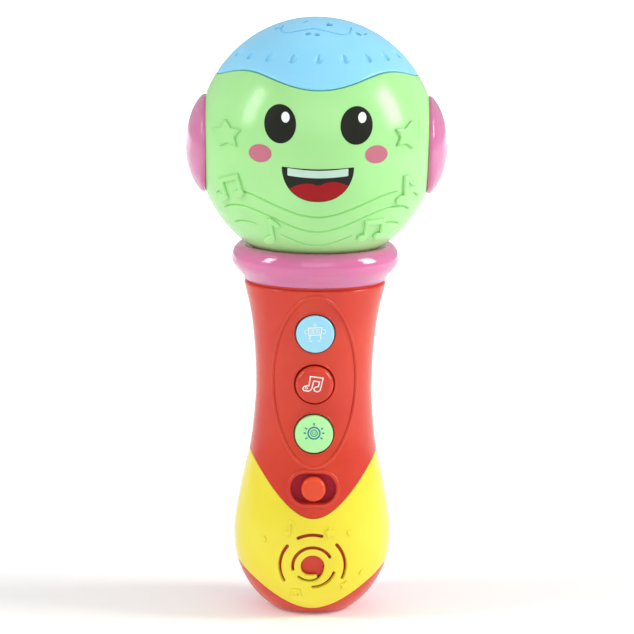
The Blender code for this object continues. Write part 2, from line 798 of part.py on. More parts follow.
def speaker():
    """Frame, cone and magnet, turned about the speaker's own axis, which looks forwards."""
    front = -SPEAKER_FRONT_Y
    frame = (
        (SPEAKER_RADIUS, front),
        (SPEAKER_RADIUS, front - 0.0013),
        (0.0070, front - 0.0039),
        (0.0042, front - 0.0039),
        (0.0042, front - 0.0031),
        (0.0062, front - 0.0029),
        (0.0092, front - 0.0009),
        (0.0092, front),
    )
    cone = (
        (0.0, front - 0.0020),
        (0.0034, front - 0.0020),
        (0.0087, front - 0.0002),
        (0.0089, front - 0.0006),
        (0.0036, front - 0.0026),
        (0.0, front - 0.0026),
    )
    magnet = (
        (0.0, front - 0.0042),
        (0.0065, front - 0.0042),
        (0.0065, front - 0.0082),
        (0.0, front - 0.0082),
    )
    pieces = (
        ("speaker_frame", frame, True, finish_with(STEEL, 0.4, 1.0)),
        ("speaker_cone", cone, False, finish_with((0.05, 0.05, 0.05), 0.8)),
        ("speaker_magnet", magnet, False, finish_with((0.1, 0.1, 0.11), 0.4, 1.0)),
    )
    for name, outline, closed, material in pieces:
        piece = turned(name, outline, closed, 20, (0, 0, GRILLE_Z), TO_FRONT)
        make_part(piece, name, material)


# ---------------------------------------------------------------- controls

def buttons():
    """Each button slides in along +Y. Its origin is on the handle's skin, on its own axis."""
    for colour_name, z, proud, colour in BUTTONS:
        skin = handle_radius(z)
        flange = math.sqrt((skin - HANDLE_WALL) ** 2 - BUTTON_FLANGE_RADIUS**2) - 0.0004 - skin
        stem = BUTTON_STEM_END - skin
        outline = (
            (0.0, proud),
            (0.0042, proud - 0.0002),
            (0.0061, proud - 0.0009),
            (BUTTON_RADIUS, proud - 0.0022),
            (BUTTON_RADIUS, flange),
            (BUTTON_FLANGE_RADIUS, flange),
            (BUTTON_FLANGE_RADIUS, flange - 0.0011),
            (0.0020, flange - 0.0011),
            (0.0020, stem),
            (0.0, stem),
        )
        name = f"button_{colour_name}"
        button = turned(name, outline, closed=False, steps=20, location=(0, -skin, z), rotation=TO_FRONT)
        make_part(button, name, finish_with(colour, 0.15))


def rubber_domes():
    """A hollow rubber spring behind each button, standing on the main board."""
    base = -BOARD_FRONT_Y + GAP
    outline = (
        (0.0, base + 0.0023),
        (0.0024, base + 0.0023),
        (0.0036, base + 0.0008),
        (0.0048, base + 0.0006),
        (0.0048, base),
        (0.0032, base),
        (0.0020, base + 0.0014),
        (0.0, base + 0.0014),
    )
    for colour_name, z, _, _ in BUTTONS:
        name = f"rubber_dome_{colour_name}"
        dome = turned(name, outline, closed=False, steps=12, location=(0, 0, z), rotation=TO_FRONT)
        make_part(dome, name, finish_with((0.75, 0.75, 0.75), 0.7))


def switch_block(name, half_width, half_height, front, back):
    """A block centred on the slide switch, between two depths."""
    low = (-half_width, front, SWITCH_Z - half_height)
    high = (half_width, back, SWITCH_Z + half_height)
    return box(name, low, high)


def switch():
    """The knob slides along X. A flange inside the shell keeps it in, and the slider follows it."""
    knob_back = SWITCH_RECESS_Y - GAP
    knob = turned(
        "switch_knob",
        (
            (0.0, 0.0042),
            (0.0034, 0.0039),
            (SWITCH_KNOB_RADIUS, 0.0027),
            (SWITCH_KNOB_RADIUS, 0.0),
            (0.0, 0.0),
        ),
        closed=False,
        steps=24,
        location=(0, knob_back, SWITCH_Z),
        rotation=TO_FRONT,
    )
    stem_back = -0.0185
    flange_back = stem_back + 0.0010
    bite = 0.0004
    join(knob, switch_block("knob_stem", 0.0009, 0.0014, knob_back - bite, stem_back + bite))
    join(knob, switch_block("knob_flange", 0.0046, 0.0026, stem_back, flange_back))
    make_part(knob, "switch_knob", finish_with(RED, 0.3))
    body_front = -0.0135
    body = switch_block("slide_switch_body", 0.0055, 0.0028, body_front, BOARD_FRONT_Y - GAP)
    make_part(body, "slide_switch_body", finish_with(STEEL, 0.35, 1.0))
    slider = switch_block("slide_switch_slider", 0.0014, 0.0012, flange_back + GAP, body_front - GAP)
    make_part(slider, "slide_switch_slider", finish_with((0.04, 0.04, 0.04), 0.5))


def main_board():
    """The board behind the buttons, with its screws, its chip and a capacitor."""
    back = BOARD_FRONT_Y + BOARD_THICKNESS
    board = box(
        "main_board", (-BOARD_HALF_WIDTH, BOARD_FRONT_Y, BOARD_BOTTOM), (BOARD_HALF_WIDTH, back, BOARD_TOP)
    )
    for x, z in BOARD_SCREWS:
        cut(board, rod("board_hole", 0.0013, (x, -0.02, z), (x, 0.0, z), 12))
    make_part(board, "main_board", finish_with((0.10, 0.32, 0.13), 0.45))
    blob = ((0.0, 0.0015), (0.0022, 0.0013), (0.0038, 0.0008), (0.0046, 0.0), (0.0, 0.0))
    chip = turned(
        "sound_chip", blob, closed=False, steps=20, location=(0, back + GAP, RIDGE_Z), rotation=TO_BACK
    )
    make_part(chip, "sound_chip", finish_with((0.02, 0.02, 0.02), 0.3))
    can = ((0.0, 0.0070), (0.0022, 0.0070), (0.0025, 0.0067), (0.0025, 0.0), (0.0, 0.0))
    capacitor = turned(
        "capacitor", can, closed=False, steps=16, location=(-0.006, back + GAP, 0.0720), rotation=TO_BACK
    )
    make_part(capacitor, "capacitor", finish_with((0.05, 0.06, 0.20), 0.3))
    mesh = screw_mesh("board_screw", 0.0020, 0.0013, 0.0009, 0.0065)
    place_screws("board_screw", mesh, BOARD_SCREWS, back + GAP, TO_BACK)


# ---------------------------------------------------------------- battery bay

def battery_places():
    return [(BATTERY_PITCH * k, BATTERY_Y) for k in (-1, 0, 1)]


def battery_tray():
    wall = 0.0015
    tray = box("battery_tray", (-0.0174, TRAY_FRONT_Y, TRAY_BOTTOM), (0.0174, 0.0110, TRAY_TOP))
    join(tray, box("screw_lug", (-0.0045, TRAY_FRONT_Y, TRAY_TOP - 0.0005), (0.0045, 0.0100, 0.0700)))
    keep_inside(tray, inside_handle(HANDLE_WALL + 0.0005))
    low, high = TRAY_BOTTOM + wall, TRAY_TOP - wall
    for x, y in battery_places():
        cut(tray, rod("battery_channel", BATTERY_RADIUS + GAP, (x, y, low), (x, y, high), 20))
    cut(tray, box("tray_mouth", (-0.0163, BATTERY_Y, low), (0.0163, BEYOND, high)))
    slot, bite = 0.0012, 0.0002
    cut(tray, box("low_contact_slot", (-0.0154, 0.0056, low - bite), (0.0154, BEYOND, low + slot)))
    cut(tray, box("high_contact_slot", (-0.0154, 0.0056, high - slot), (0.0154, BEYOND, high + bite)))
    cut(tray, rod("door_screw_pilot", 0.0017, (0, 0.0040, DOOR_SCREW_Z), (0, BEYOND, DOOR_SCREW_Z), 12))
    make_part(tray, "battery_tray", finish_with((0.08, 0.08, 0.09), 0.5))


def batteries():
    nub = 0.0010
    outline = (
        (0.0, BATTERY_LENGTH),
        (0.0019, BATTERY_LENGTH),
        (0.0019, BATTERY_LENGTH - nub),
        (BATTERY_RADIUS, BATTERY_LENGTH - nub),
        (BATTERY_RADIUS, 0.0),
        (0.0, 0.0),
    )
    for number, (x, y) in enumerate(battery_places(), 1):
        battery = turned(f"battery_{number}", outline, closed=False, steps=20)
        battery.location = (x, y, BATTERY_BOTTOM)
        make_part(battery, f"battery_{number}", finish_with((0.10, 0.12, 0.14), 0.3, 0.6))


def contacts():
    """A plate at each end of the bay, and a coil spring under each cell."""
    sheet = 0.0004
    half = 0.0150
    low = TRAY_BOTTOM + 0.0015 + GAP
    high = TRAY_TOP - 0.0015 - GAP
    for name, bottom in (("contact_plate_bottom", low), ("contact_plate_top", high - sheet)):
        plate = box(name, (-half, 0.0060, bottom), (half, 0.0100, bottom + sheet))
        make_part(plate, name, finish_with(STEEL, 0.25, 1.0))
    wire = 0.0003
    first = low + sheet + wire + GAP
    last = BATTERY_BOTTOM - wire - GAP
    turns, per_turn = 2.5, 6
    count = int(turns * per_turn)
    for number, (x, y) in enumerate(battery_places(), 1):
        curve = bpy.data.curves.new(f"contact_spring_{number}", "CURVE")
        curve.dimensions = "3D"
        curve.bevel_depth = wire
        curve.bevel_resolution = 1
        curve.use_fill_caps = True
        spline = curve.splines.new("POLY")
        spline.points.add(count)
        for i, point in enumerate(spline.points):
            angle = 2 * math.pi * i / per_turn
            radius = 0.0034 - 0.0012 * i / count
            height = first + (last - first) * i / count
            point.co = (radius * math.cos(angle), radius * math.sin(angle), height, 1.0)
        spring = new_helper(f"contact_spring_{number}", curve)
        spring.location = (x, y, 0)
        make_part(spring, f"contact_spring_{number}", finish_with(STEEL, 0.2, 1.0))


def battery_door():
    """The door fills its opening in the back shell, and a boss at its tab takes the screw."""
    outer = handle_arc(0.004, 0.080, 0, 9)
    inner = handle_arc(0.004, 0.080, DOOR_WALL, 7)
    door = turned("battery_door", outer + inner[::-1], closed=True)
    boss = rod("door_boss", 0.0042, (0, 0.0104, DOOR_SCREW_Z), (0, BEYOND, DOOR_SCREW_Z))
    keep_inside(boss, inside_handle(DOOR_WALL / 2))
    keep_inside(door, extruded("door_shape", door_outline(0.0), 0.004, BEYOND))
    join(door, boss)
    cut(door, rod("door_clearance", 0.0018, (0, 0.0, DOOR_SCREW_Z), (0, BEYOND, DOOR_SCREW_Z), 12))
    floor = (0, DOOR_SCREW_FLOOR_Y, DOOR_SCREW_Z)
    cut(door, rod("door_counterbore", 0.0032, floor, (0, BEYOND, DOOR_SCREW_Z)))
    make_part(door, "battery_door", finish_with(RED, 0.2))
    screw = bpy.data.objects.new("door_screw", screw_mesh("door_screw", 0.0027, 0.0018, 0.0014, 0.0110))
    screw.location = (0, DOOR_SCREW_FLOOR_Y + GAP, DOOR_SCREW_Z)
    screw.rotation_euler = TO_BACK
    make_part(screw, "door_screw", finish_with(STEEL, 0.3, 1.0))
    shade(screw)


# ---------------------------------------------------------------- internal wires

def wires():
    """Leads that stay inside the toy, each a smooth tube between two parts."""
    board_back = BOARD_FRONT_Y + BOARD_THICKNESS
    routes = (
        ("led_lead", 0.0009, (0.15, 0.15, 0.16), (
            (0.0, board_back + 0.0013, 0.0960),
            (0.0, -0.0040, 0.1010),
            (0.0, -0.0010, 0.1100),
            (0.0, 0.0, 0.1200),
            (0.0, 0.0, 0.1400),
            (0.0, 0.0, 0.1594),
        )),
        ("speaker_lead", 0.0006, (0.60, 0.05, 0.05), (
            (0.0070, board_back + 0.0010, 0.0450),
            (0.0078, -0.0050, 0.0400),
            (0.0086, -0.0068, 0.0320),
            (0.0090, -0.0096, 0.0240),
        )),
        ("battery_lead", 0.0006, (0.04, 0.04, 0.05), (
            (-0.0060, board_back + 0.0010, 0.0560),
            (-0.0066, -0.0040, 0.0590),
            (-0.0070, -0.0010, 0.0585),
            (-0.0070, 0.0014, 0.0560),
        )),
    )
    for name, radius, colour, points in routes:
        curve = bpy.data.curves.new(name, "CURVE")
        curve.dimensions = "3D"
        curve.bevel_depth = radius
        curve.bevel_resolution = 1
        curve.use_fill_caps = True
        smooth = smooth_route([Vector(p) for p in points], 3)
        spline = curve.splines.new("POLY")
        spline.points.add(len(smooth) - 1)
        for point, place in zip(spline.points, smooth):
            point.co = (*place, 1.0)
        make_part(new_helper(name, curve), name, finish_with(colour, 0.5))


def smooth_route(points, per_span):
    """A Catmull-Rom curve through the points."""
    padded = [2 * points[0] - points[1]] + points + [2 * points[-1] - points[-2]]
    route = []
    for a, b, c, d in zip(padded, padded[1:], padded[2:], padded[3:]):
        for i in range(per_span):
            t = i / per_span
            linear = c - a
            square = 2 * a - 5 * b + 4 * c - d
            cube = 3 * b - a - 3 * c + d
            route.append(0.5 * (2 * b + linear * t + square * t**2 + cube * t**3))
    return route + [points[-1]]


def build():
    head_front()
    head_back()
    head_cap()
    cap_diffuser()
    ears()
    head_lights()
    head_screws()
    collar_ring()
    handle_front()
    handle_back()
    case_screws()
    speaker_cover()
    speaker()
    buttons()
    rubber_domes()
    switch()
    main_board()
    battery_tray()
    batteries()
    contacts()
    battery_door()
    wires()


build()
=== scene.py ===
"""The looks of the toy microphone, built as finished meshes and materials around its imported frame.

Metres, +Z up. The face and the buttons look towards -Y. Angles round the handle's axis are measured
from the front, growing towards +X, so that x = r sin(turn) and y = -r cos(turn).
"""

import json
import math

import bmesh
import bpy
import numpy as np
from mathutils import Matrix, Vector


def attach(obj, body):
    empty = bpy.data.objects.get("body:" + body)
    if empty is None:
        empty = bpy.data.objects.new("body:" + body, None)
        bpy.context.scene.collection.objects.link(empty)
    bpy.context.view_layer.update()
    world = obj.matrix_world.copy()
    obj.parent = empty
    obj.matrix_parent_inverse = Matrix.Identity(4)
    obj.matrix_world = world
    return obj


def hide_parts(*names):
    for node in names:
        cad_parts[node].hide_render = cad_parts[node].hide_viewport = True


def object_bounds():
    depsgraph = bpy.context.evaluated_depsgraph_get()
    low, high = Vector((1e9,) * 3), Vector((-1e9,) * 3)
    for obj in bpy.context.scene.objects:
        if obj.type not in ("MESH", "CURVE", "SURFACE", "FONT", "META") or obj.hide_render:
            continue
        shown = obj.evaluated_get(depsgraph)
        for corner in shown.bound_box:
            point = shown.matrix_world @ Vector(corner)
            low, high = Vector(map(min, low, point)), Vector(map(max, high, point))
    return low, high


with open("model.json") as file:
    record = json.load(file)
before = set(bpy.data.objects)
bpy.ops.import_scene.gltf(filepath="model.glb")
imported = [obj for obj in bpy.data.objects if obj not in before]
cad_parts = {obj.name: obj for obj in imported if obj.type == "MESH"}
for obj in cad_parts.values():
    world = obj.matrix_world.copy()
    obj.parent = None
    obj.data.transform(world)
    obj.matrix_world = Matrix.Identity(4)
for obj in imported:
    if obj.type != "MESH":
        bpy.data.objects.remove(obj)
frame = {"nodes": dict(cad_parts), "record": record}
CAD_BOX = [list(corner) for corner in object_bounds()]
MM = 0.001

# ---- sizes shared with the frame

GAP = 0.3 * MM
PARTING_GAP = 0.04 * MM  # between the halves of the head, and of the handle

BEYOND = 50.0 * MM  # well outside the toy, for the ends of cutters

HEAD_CENTRE_Z = 166.3 * MM
HEAD_RADIUS = 42.0 * MM
HEAD_HALF_HEIGHT = 43.6 * MM
HEAD_WALL = 1.8 * MM
EAR_PLANE_X = 38.8 * MM
EAR_Z = 165.5 * MM
EAR_SINK = 0.5 * MM  # how far each ear sits in the head's side
SEAM_Z = 191.5 * MM
SEAM_DIP = 0.8 * MM  # lower at the front and back than at the sides
SEAM_WAVE = 2.1 * MM
HEAD_SCREWS = ((-24.0, 143.0), (24.0, 143.0))  # mm, seen from the front
HEAD_SCREW_FLOOR_Y = 8.0 * MM
SCREW_HOLE = 2.9 * MM  # radius of the hole for the head of a case or head screw
SHANK_HOLE = 1.6 * MM
SCREW_HEAD = 1.8 * MM  # height of every screw's head

NECK_RADIUS = 17.5 * MM
NECK_BORE = 15.3 * MM
NECK_FLANGE_RADIUS = 19.4 * MM
NECK_FLANGE_TOP = 115.6 * MM
NECK_BOTTOM = 113.6 * MM

HANDLE_TOP = 118.1 * MM
HANDLE_SKIN = (  # (height, radius) in mm
    (0.0, 12.8),
    (1.4, 15.0),
    (3.4, 17.5),
    (7.4, 21.2),
    (13.8, 24.9),
    (20.2, 26.9),
    (26.6, 27.5),
    (33.1, 27.1),
    (45.9, 24.9),
    (58.7, 22.1),
    (71.6, 20.7),
    (80.1, 20.3),
    (93.0, 20.8),
    (105.8, 22.3),
    (118.1, 25.1),
)
HANDLE_WALL = 2.2 * MM
LOW_FRONT_WALL = 3.6 * MM
LOW_FRONT_TOP = 58.5 * MM
HANDLE_FLOOR = 2.4 * MM
LIP_RADIUS = 18.0 * MM
LIP_UNDERSIDE = 116.1 * MM

COVER_THICKNESS = 1.4 * MM
COVER_TOP = (37.2, 24.0, 1.66)  # lowest height and roundness in mm, slope at the sides
COVER_BOTTOM = (2.95, 9.3, 0.85)
GRILLE_Z = 20.1  # mm
SOUND_HOLES = (6, 5.3, 1.1)  # behind the grille: how many, their circle's radius and their own, in mm
GRILLE_HOLE_RADIUS = 4.25
GRILLE_SLOT = 1.15
GRILLE_ARCS = ((7.0, 30, 190), (7.9, -88, -18), (11.5, -24, 43), (11.5, 141, 210), (11.5, 74, 117))

BUTTON_RADIUS = 6.6 * MM
BUTTON_FLANGE_RADIUS = 7.7 * MM
BUTTON_STEM_END = 11.9 * MM
BUTTONS = {"blue": (102.0 * MM, 1.8 * MM), "red": (83.8 * MM, 2.6 * MM), "green": (66.4 * MM, 1.8 * MM)}
RIDGE = (84.8, 14.5, 30.4)  # mm: height of its centre, half width, half height

SWITCH_Z = 47.4 * MM
SWITCH_RECESS = (16.0, 10.5)
SWITCH_RECESS_Y = -22.0 * MM
SWITCH_KNOB_RADIUS = 4.25 * MM
SWITCH_TRAVEL = 3.0 * MM
KNOB_STEM = (0.9, 1.4, -18.5)  # mm: half width, half height, and the y of its back
KNOB_FLANGE = (4.6, 2.6, -17.5)

DOOR_HALF_WIDTH = 16.2
DOOR_BOTTOM = 9.7
DOOR_TOP = 62.0
DOOR_TAB = (5.5, 71.0)
DOOR_WALL = 2.0 * MM
DOOR_SCREW_Z = 66.2 * MM
DOOR_SCREW_FLOOR_Y = 18.0 * MM
CASE_SCREWS = ((-14.5, 107.0), (14.5, 107.0), (-15.3, 69.0), (15.3, 69.0))
CASE_SCREW_FLOOR_Y = 5.0 * MM

# ---- looks of the moulded skin

# Wavy grooves round the lower head: mean height in mm, wave, and the turns in degrees that they span.
GROOVES = (
    (149.0, 4.1, ((-63, -58), (-41, 44), (57, 65))),
    (143.4, 4.1, ((-60, 60),)),
    (137.7, 3.9, ((-57, -36), (-23, 23), (43, 58))),
)
GROOVE_HALF_WIDTH = 0.54 * MM
GROOVE_DEPTH = 0.75 * MM
DIMPLES = 20
DIMPLE_Z = 198.4 * MM
DIMPLE_SIZE = (2.9 * MM, 3.9 * MM)


# ---- small tools

def smooth(x):
    x = np.clip(x, 0.0, 1.0)
    return x * x * (3 - 2 * x)


def lip(distance, radius):
    """Depth of a rounded edge at a distance from the edge."""
    near = np.clip(distance, 0.0, radius)
    return radius - np.sqrt(np.maximum(radius**2 - (radius - near) ** 2, 0.0))


def new_object(name, mesh):
    obj = bpy.data.objects.new(name, mesh)
    bpy.context.scene.collection.objects.link(obj)
    return obj


def mesh_object(name, verts, faces, weld=1e-6):
    """An object from points and faces, welded, with its faces turned outwards."""
    mesh = bpy.data.meshes.new(name)
    mesh.from_pydata(np.asarray(verts).tolist(), [], [list(face) for face in faces])
    form = bmesh.new()
    form.from_mesh(mesh)
    bmesh.ops.remove_doubles(form, verts=form.verts, dist=weld)
    bmesh.ops.dissolve_degenerate(form, edges=form.edges, dist=weld)
    loose = [edge for edge in form.edges if not edge.link_faces]
    bmesh.ops.delete(form, geom=loose, context="EDGES")
    write_outwards(form, mesh)
    return new_object(name, mesh)


def write_outwards(form, mesh):
    """Writes the form to the mesh with every face turned outwards, and frees it."""
    bmesh.ops.recalc_face_normals(form, faces=form.faces)
    if form.calc_volume(signed=True) < 0:
        bmesh.ops.reverse_faces(form, faces=form.faces)
    form.to_mesh(mesh)
    form.free()
    mesh.update()


def evaluated_mesh(obj):
    bpy.context.view_layer.update()
    graph = bpy.context.evaluated_depsgraph_get()
    return bpy.data.meshes.new_from_object(obj.evaluated_get(graph))


def points_of(mesh):
    points = np.empty(len(mesh.vertices) * 3)
    mesh.vertices.foreach_get("co", points)
    return points.reshape(-1, 3)


def turns_round(count):
    return np.linspace(0, 2 * math.pi, count, endpoint=False)


def thick_sheet(name, outer, inner, wrap=False):
    """A closed shell between two grids of points with the same rows and columns."""
    outer, inner = np.asarray(outer), np.asarray(inner)
    rows, columns = outer.shape[:2]
    near = np.arange(rows * columns).reshape(rows, columns)
    far = near + rows * columns

    def quads(a, b, c, d):
        return np.stack([a, b, c, d], axis=-1).reshape(-1, 4)

    def body(grid):
        following = np.roll(grid, -1, axis=1) if wrap else grid[:, 1:]
        here = grid if wrap else grid[:, :-1]
        return quads(here[:-1], here[1:], following[1:], following[:-1])

    faces = [body(near), body(far)[:, ::-1]]
    for row in (0, -1):
        a, b = near[row], far[row]
        if wrap:
            faces.append(quads(a, np.roll(a, -1), np.roll(b, -1), b))
        else:
            faces.append(quads(a[:-1], a[1:], b[1:], b[:-1]))
    if not wrap:
        for column in (0, -1):
            a, b = near[:, column], far[:, column]
            faces.append(quads(a[:-1], a[1:], b[1:], b[:-1]))
    verts = np.concatenate([outer.reshape(-1, 3), inner.reshape(-1, 3)])
    return mesh_object(name, verts, np.concatenate(faces), weld=1e-7)


def turned(name, outline, steps=64, place=None):
    """A solid of revolution about local Z. Its outline of (radius, height) is closed or ends on the axis."""
    outline = np.asarray(outline, float)
    closed = outline[0][0] > 1e-9 or outline[-1][0] > 1e-9
    turns = turns_round(steps)
    verts = [(r * math.cos(turn), r * math.sin(turn), height) for r, height in outline for turn in turns]
    count = len(outline)
    faces = []
    for i in range(count if closed else count - 1):
        for j in range(steps):
            k = (j + 1) % steps
            below = (i + 1) % count
            faces.append((i * steps + j, below * steps + j, below * steps + k, i * steps + k))
    obj = mesh_object(name, verts, faces)
    if place is not None:
        obj.data.transform(place)
    return obj


TO_FRONT = Matrix.Rotation(math.pi / 2, 4, "X")  # local +Z to -Y
TO_BACK = Matrix.Rotation(-math.pi / 2, 4, "X")  # local +Z to +Y


def at(x, y, z, turn=None):
    place = Matrix.Translation((x, y, z))
    return place if turn is None else place @ turn


def corner_arc(before, here, after, radius, share, steps):
    """Points round a corner. The curve takes up at most this share of each side."""
    here = Vector(here)
    before, after = Vector(before) - here, Vector(after) - here
    reach = min(radius, share * before.length, share * after.length)
    start, end = here + before.normalized() * reach, here + after.normalized() * reach
    shares = [k / steps for k in range(steps + 1)]
    return [tuple((1 - t) ** 2 * start + 2 * t * (1 - t) * here + t**2 * end) for t in shares]


def rounded(points, radii, steps):
    """An outline of (radius, height) corners, each rounded to its own radius."""
    result = []
    for i, (corner, radius) in enumerate(zip(points, radii)):
        if radius <= 0 or i in (0, len(points) - 1):
            result.append(tuple(Vector(corner)))
        else:
            result += corner_arc(points[i - 1], corner, points[i + 1], radius, 0.49, steps)
    return result


def flat_plate(name, loops, low, high, bevel=0.0, cell=0.9 * MM):
    """A plate in the plane of local X and Z with rounded edges, cut into cells so that it can be bent.

    Its outline and holes are loops of (x, z). Local Y runs from low, its back, to high, its face.
    """
    curve = bpy.data.curves.new(name, "CURVE")
    curve.dimensions = "2D"
    curve.fill_mode = "BOTH"
    curve.extrude = (high - low) / 2 - bevel
    curve.bevel_depth = bevel
    curve.bevel_resolution = 2
    curve.offset = -bevel
    for loop in loops:
        spline = curve.splines.new("POLY")
        spline.points.add(len(loop) - 1)
        for point, (x, z) in zip(spline.points, loop):
            point.co = (x, z, 0.0, 1.0)
        spline.use_cyclic_u = True
    flat = new_object(name, curve)
    mesh = evaluated_mesh(flat)
    bpy.data.objects.remove(flat, do_unlink=True)
    form = bmesh.new()
    form.from_mesh(mesh)
    bmesh.ops.remove_doubles(form, verts=form.verts, dist=2e-6)
    bmesh.ops.dissolve_limit(form, angle_limit=0.002, verts=form.verts, edges=form.edges)
    bmesh.ops.recalc_face_normals(form, faces=form.faces)
    spans = [(min(v.co[k] for v in form.verts), max(v.co[k] for v in form.verts)) for k in (0, 1)]
    for axis, (first, last) in enumerate(spans):
        count = int((last - first) / cell)
        for i in range(1, count + 1):
            point, normal = Vector(), Vector()
            point[axis] = first + (last - first) * i / (count + 1)
            normal[axis] = 1.0
            everything = list(form.verts) + list(form.edges) + list(form.faces)
            bmesh.ops.bisect_plane(form, geom=everything, plane_co=point, plane_no=normal, dist=1e-7)
    form.to_mesh(mesh)
    form.free()
    points = points_of(mesh)
    points[:, 2] += (high + low) / 2
    mesh.vertices.foreach_set("co", points.ravel())
    return new_object(name, mesh)


def bend(obj, mapping):
    """Moves each point (across, up, lift) of a flat plate to where mapping says."""
    mesh = obj.data
    mesh.vertices.foreach_set("co", mapping(*points_of(mesh).T).ravel())
    form = bmesh.new()
    form.from_mesh(mesh)
    write_outwards(form, mesh)
    return obj


def combine(obj, tools, operation):
    """Applies Booleans with the tools, then removes them."""
    for tool in tools:
        modifier = obj.modifiers.new(operation, "BOOLEAN")
        modifier.operation = operation
        modifier.object = tool
        modifier.solver = "MANIFOLD"
    mesh = evaluated_mesh(obj)
    obj.modifiers.clear()
    obj.data = mesh
    for tool in tools:
        bpy.data.objects.remove(tool, do_unlink=True)
    return obj


def joined(name, objects):
    """Several closed bodies as one object."""
    mesh = bpy.data.meshes.new(name)
    form = bmesh.new()
    for obj in objects:
        form.from_mesh(obj.data)
        bpy.data.objects.remove(obj, do_unlink=True)
    form.to_mesh(mesh)
    form.free()
    return new_object(name, mesh)


def rod(radius, start, end, segments=48):
    """A cylinder between two points."""
    start, end = Vector(start), Vector(end)
    outline = ((0.0, (end - start).length), (radius, (end - start).length), (radius, 0.0), (0.0, 0.0))
    turn = (end - start).to_track_quat("Z", "Y").to_matrix().to_4x4()
    return turned("rod", outline, segments, Matrix.Translation(start) @ turn)


def prism(loop, y_from, y_to):
    """A straight prism along Y from an outline of (x, z)."""
    low, high = sorted((y_from, y_to))
    plate = flat_plate("prism", [loop], low, high, cell=1.0)
    return bend(plate, lambda across, up, lift: np.stack([across, lift, up], axis=1))


def bead(name, path, normals, half_width, height, sink=0.4 * MM, closed=True, sides=10):
    """A raised rounded line that follows a path of points on a skin."""
    path, normals = np.asarray(path), np.asarray(normals)
    ahead = np.roll(path, -1, axis=0) - np.roll(path, 1, axis=0)
    if not closed:
        ahead[0], ahead[-1] = path[1] - path[0], path[-1] - path[-2]
    ahead /= np.linalg.norm(ahead, axis=1)[:, None]
    across = np.cross(ahead, normals)
    across /= np.linalg.norm(across, axis=1)[:, None]
    section = [(math.cos(t), math.sin(t)) for t in np.linspace(0, math.pi, sides)]
    offsets = [(half_width * c, height * s) for c, s in section]
    offsets += [(-half_width, -sink), (half_width, -sink)]
    rings = [path + a * across + b * normals for a, b in offsets]
    grid = np.stack(rings, axis=1)
    count, around = grid.shape[:2]
    faces = []
    for i in range(count if closed else count - 1):
        for j in range(around):
            k, m = (i + 1) % count, (j + 1) % around
            faces.append((i * around + j, i * around + m, k * around + m, k * around + j))
    if not closed:
        faces.append(tuple(range(around)))
        faces.append(tuple((count - 1) * around + j for j in range(around)))
    return mesh_object(name, grid.reshape(-1, 3), faces)


# ---- skins

def head_radius(z):
    up = np.clip((np.asarray(z) - HEAD_CENTRE_Z) / HEAD_HALF_HEIGHT, -1.0, 1.0)
    return HEAD_RADIUS * np.sqrt(1.0 - up**2)


def head_surface(turn, z, lift=0.0):
    """Points on the head's skin, moved out along its normal by lift, and cut flat at the ears."""
    turn, z = np.broadcast_arrays(turn, z)
    radius = head_radius(z)
    x, y = radius * np.sin(turn), -radius * np.cos(turn)
    normal = np.stack(
        [x / HEAD_RADIUS**2, y / HEAD_RADIUS**2, (z - HEAD_CENTRE_Z) / HEAD_HALF_HEIGHT**2], axis=-1
    )
    normal /= np.linalg.norm(normal, axis=-1, keepdims=True)
    lift = np.broadcast_to(lift, x.shape)
    points = np.stack([x, y, z], axis=-1) + normal * lift[..., None]
    limit = EAR_PLANE_X + np.minimum(lift, 0.0)
    points[..., 0] = np.clip(points[..., 0], -limit, limit)
    return points


def front_of_head(across, up, lift):
    """Maps x and z, seen from the front, to the head's skin."""
    across = np.clip(across, -0.999 * head_radius(up), 0.999 * head_radius(up))
    return head_surface(np.arcsin(across / head_radius(up)), up, lift)


def seam_height(turn):
    return SEAM_Z - SEAM_DIP * np.cos(2 * turn) - SEAM_WAVE * np.cos(4 * turn)


SKIN_Z = np.array([z for z, _ in HANDLE_SKIN]) * MM
SKIN_R = np.array([r for _, r in HANDLE_SKIN]) * MM
_low = np.maximum(np.arange(len(SKIN_Z)) - 1, 0)
_high = np.minimum(np.arange(len(SKIN_Z)) + 1, len(SKIN_Z) - 1)
SKIN_SLOPE = (SKIN_R[_high] - SKIN_R[_low]) / (SKIN_Z[_high] - SKIN_Z[_low])


def handle_radius(z):
    z = np.clip(z, SKIN_Z[0], SKIN_Z[-1])
    k = np.clip(np.searchsorted(SKIN_Z, z, side="right") - 1, 0, len(SKIN_Z) - 2)
    span = SKIN_Z[k + 1] - SKIN_Z[k]
    t = (z - SKIN_Z[k]) / span
    return (
        (2 * t**3 - 3 * t**2 + 1) * SKIN_R[k]
        + (t**3 - 2 * t**2 + t) * SKIN_SLOPE[k] * span
        + (-2 * t**3 + 3 * t**2) * SKIN_R[k + 1]
        + (t**3 - t**2) * SKIN_SLOPE[k + 1] * span
    )


def handle_slope(z):
    run = 0.2 * MM
    return (handle_radius(z + run) - handle_radius(z - run)) / (2 * run)


def handle_surface(turn, z, lift=0.0):
    turn, z = np.broadcast_arrays(turn, z)
    slope = handle_slope(z)
    normal = np.stack([np.sin(turn), -np.cos(turn), -slope], axis=-1)
    normal /= np.linalg.norm(normal, axis=-1, keepdims=True)
    radius = handle_radius(z)
    lift = np.broadcast_to(lift, radius.shape)
    points = np.stack([radius * np.sin(turn), -radius * np.cos(turn), z], axis=-1)
    return points + normal * lift[..., None]


def handle_normal(turn, z):
    return (handle_surface(turn, z, MM) - handle_surface(turn, z)) / MM


def front_of_handle(across, up, lift):
    return handle_surface(np.arcsin(np.clip(across / handle_radius(up), -1, 1)), up, lift)


def back_of_handle(across, up, lift):
    return front_of_handle(across, up, lift) * np.array([1.0, -1.0, 1.0])


